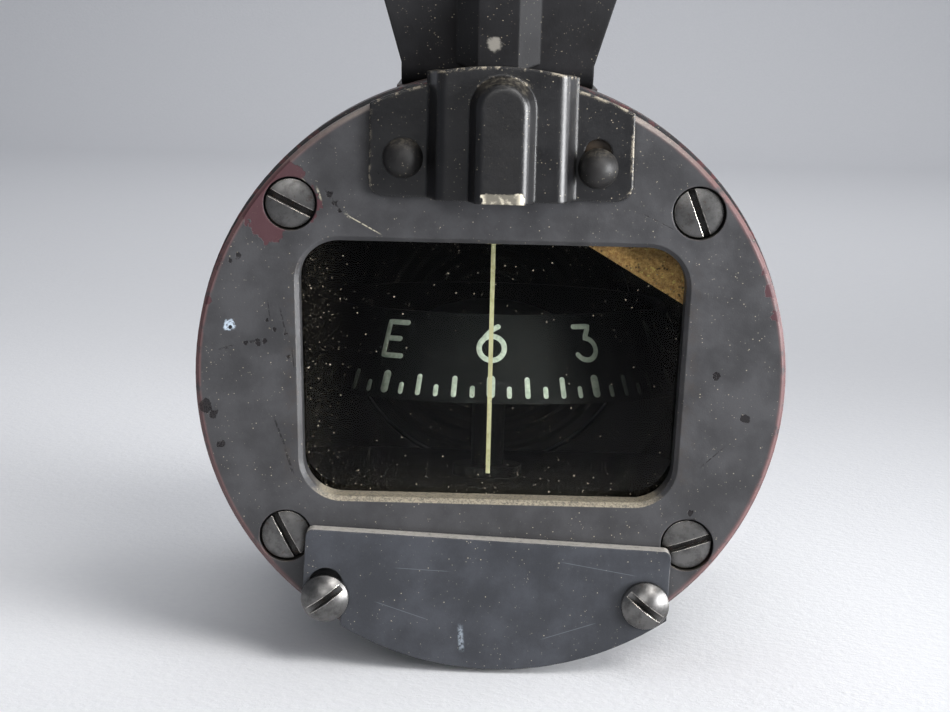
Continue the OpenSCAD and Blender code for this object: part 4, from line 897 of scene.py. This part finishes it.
# %% [markdown]
# ## Floor, wall and light
# A sheet of pale paper runs under the compass and curves up behind it, so there is no hard
# horizon. The key lamp stands at the upper right in front, a weaker one fills from the left, and
# one low at the right draws the bright streaks on the lamp cover's bends. The two front lamps
# have a narrow spread, as if through a grid, so that the paper in front of the compass stays
# dark and isn't mirrored in the window. The others light the rim, the floor and the backdrop.

# %% The paper sweep
FLOOR_GAP, PAPER_W, PAPER_FRONT, PAPER_BACK, WALL_H = 0.0004, 3.0, -0.9, 0.9, 1.0
BEND, STEPS = 0.12, 10
FLOOR_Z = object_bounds()[0][2] - FLOOR_GAP
bpy.ops.object.select_all(action="DESELECT")
bpy.ops.mesh.primitive_plane_add(size=1, location=(0, 0, FLOOR_Z))
paper = bpy.context.object
paper.name = "paper_sweep"
for v in paper.data.vertices:
    v.co.x *= PAPER_W
    v.co.y = PAPER_FRONT if v.co.y < 0 else PAPER_BACK
bpy.ops.object.mode_set(mode="EDIT")
bpy.ops.mesh.select_mode(type="EDGE")
bpy.ops.mesh.select_all(action="DESELECT")
bpy.ops.object.mode_set(mode="OBJECT")
for e in paper.data.edges:
    e.select = all(paper.data.vertices[i].co.y > PAPER_BACK - 0.1 for i in e.vertices)
bpy.ops.object.mode_set(mode="EDIT")
run = BEND * math.pi / 2 / STEPS
for i in range(STEPS):
    lean = math.radians(90 * (i + 0.5) / STEPS)
    bpy.ops.mesh.extrude_region_move(
        TRANSFORM_OT_translate={"value": (0, run * math.cos(lean), run * math.sin(lean))})
bpy.ops.mesh.extrude_region_move(TRANSFORM_OT_translate={"value": (0, 0, WALL_H)})
bpy.ops.object.mode_set(mode="OBJECT")
bpy.ops.object.shade_smooth_by_angle(angle=math.radians(40))
bpy.ops.object.transform_apply(location=True, rotation=True, scale=True)
sheet = Finish("pale paper", linear(226, 227, 230), 0.9)
tooth = sheet.noise(0.9, 4.0, 0.6)
sheet.set("Base Color", sheet.blend(tooth, linear(222, 223, 227), linear(230, 231, 233)))
sheet.relief(tooth * 0.1, 1.0)
dress(sheet, "paper_sweep")

# %% Lamps


def lamp_at(name, where, size, power, colour, spread, target=(0, 0, 0)):
    data = bpy.data.lights.new(name, "AREA")
    data.shape, data.size, data.spread = "DISK", size, math.radians(spread)
    data.energy, data.color = power, colour
    held = bpy.data.objects.new(name, data)
    bpy.context.scene.collection.objects.link(held)
    spot = place(*where)
    turn = (place(*target) - spot).to_track_quat("-Z", "Y").to_matrix().to_4x4()
    held.matrix_world = Matrix.Translation(spot) @ turn


lamp_at("key", (240, -330, 400), 0.30, 0.165, (1.0, 0.98, 0.95), 45)
lamp_at("front", (-60, -560, 230), 0.36, 0.07, (1.0, 0.99, 0.97), 35)
lamp_at("right", (300, -150, 20), 0.26, 0.6, (0.98, 0.99, 1.0), 60, (0, 0, 25))
lamp_at("wall", (60, 420, 560), 0.5, 1.35, (1.0, 1.0, 1.0), 130, (60, 800, -60))
lamp_at("rim", (330, 150, 60), 0.2, 0.12, (0.98, 0.99, 1.0), 90)
lamp_at("top", (0, 60, 520), 0.5, 0.32, (1.0, 1.0, 1.0), 95)
world = bpy.data.worlds.new("studio")
bpy.context.scene.world = world
world.use_nodes = True
room = world.node_tree.nodes["Background"].inputs
room["Color"].default_value, room["Strength"].default_value = (0.86, 0.9, 1.0, 1), 0.24
bpy.context.scene.view_settings.view_transform = "Standard"
print("lamps set")
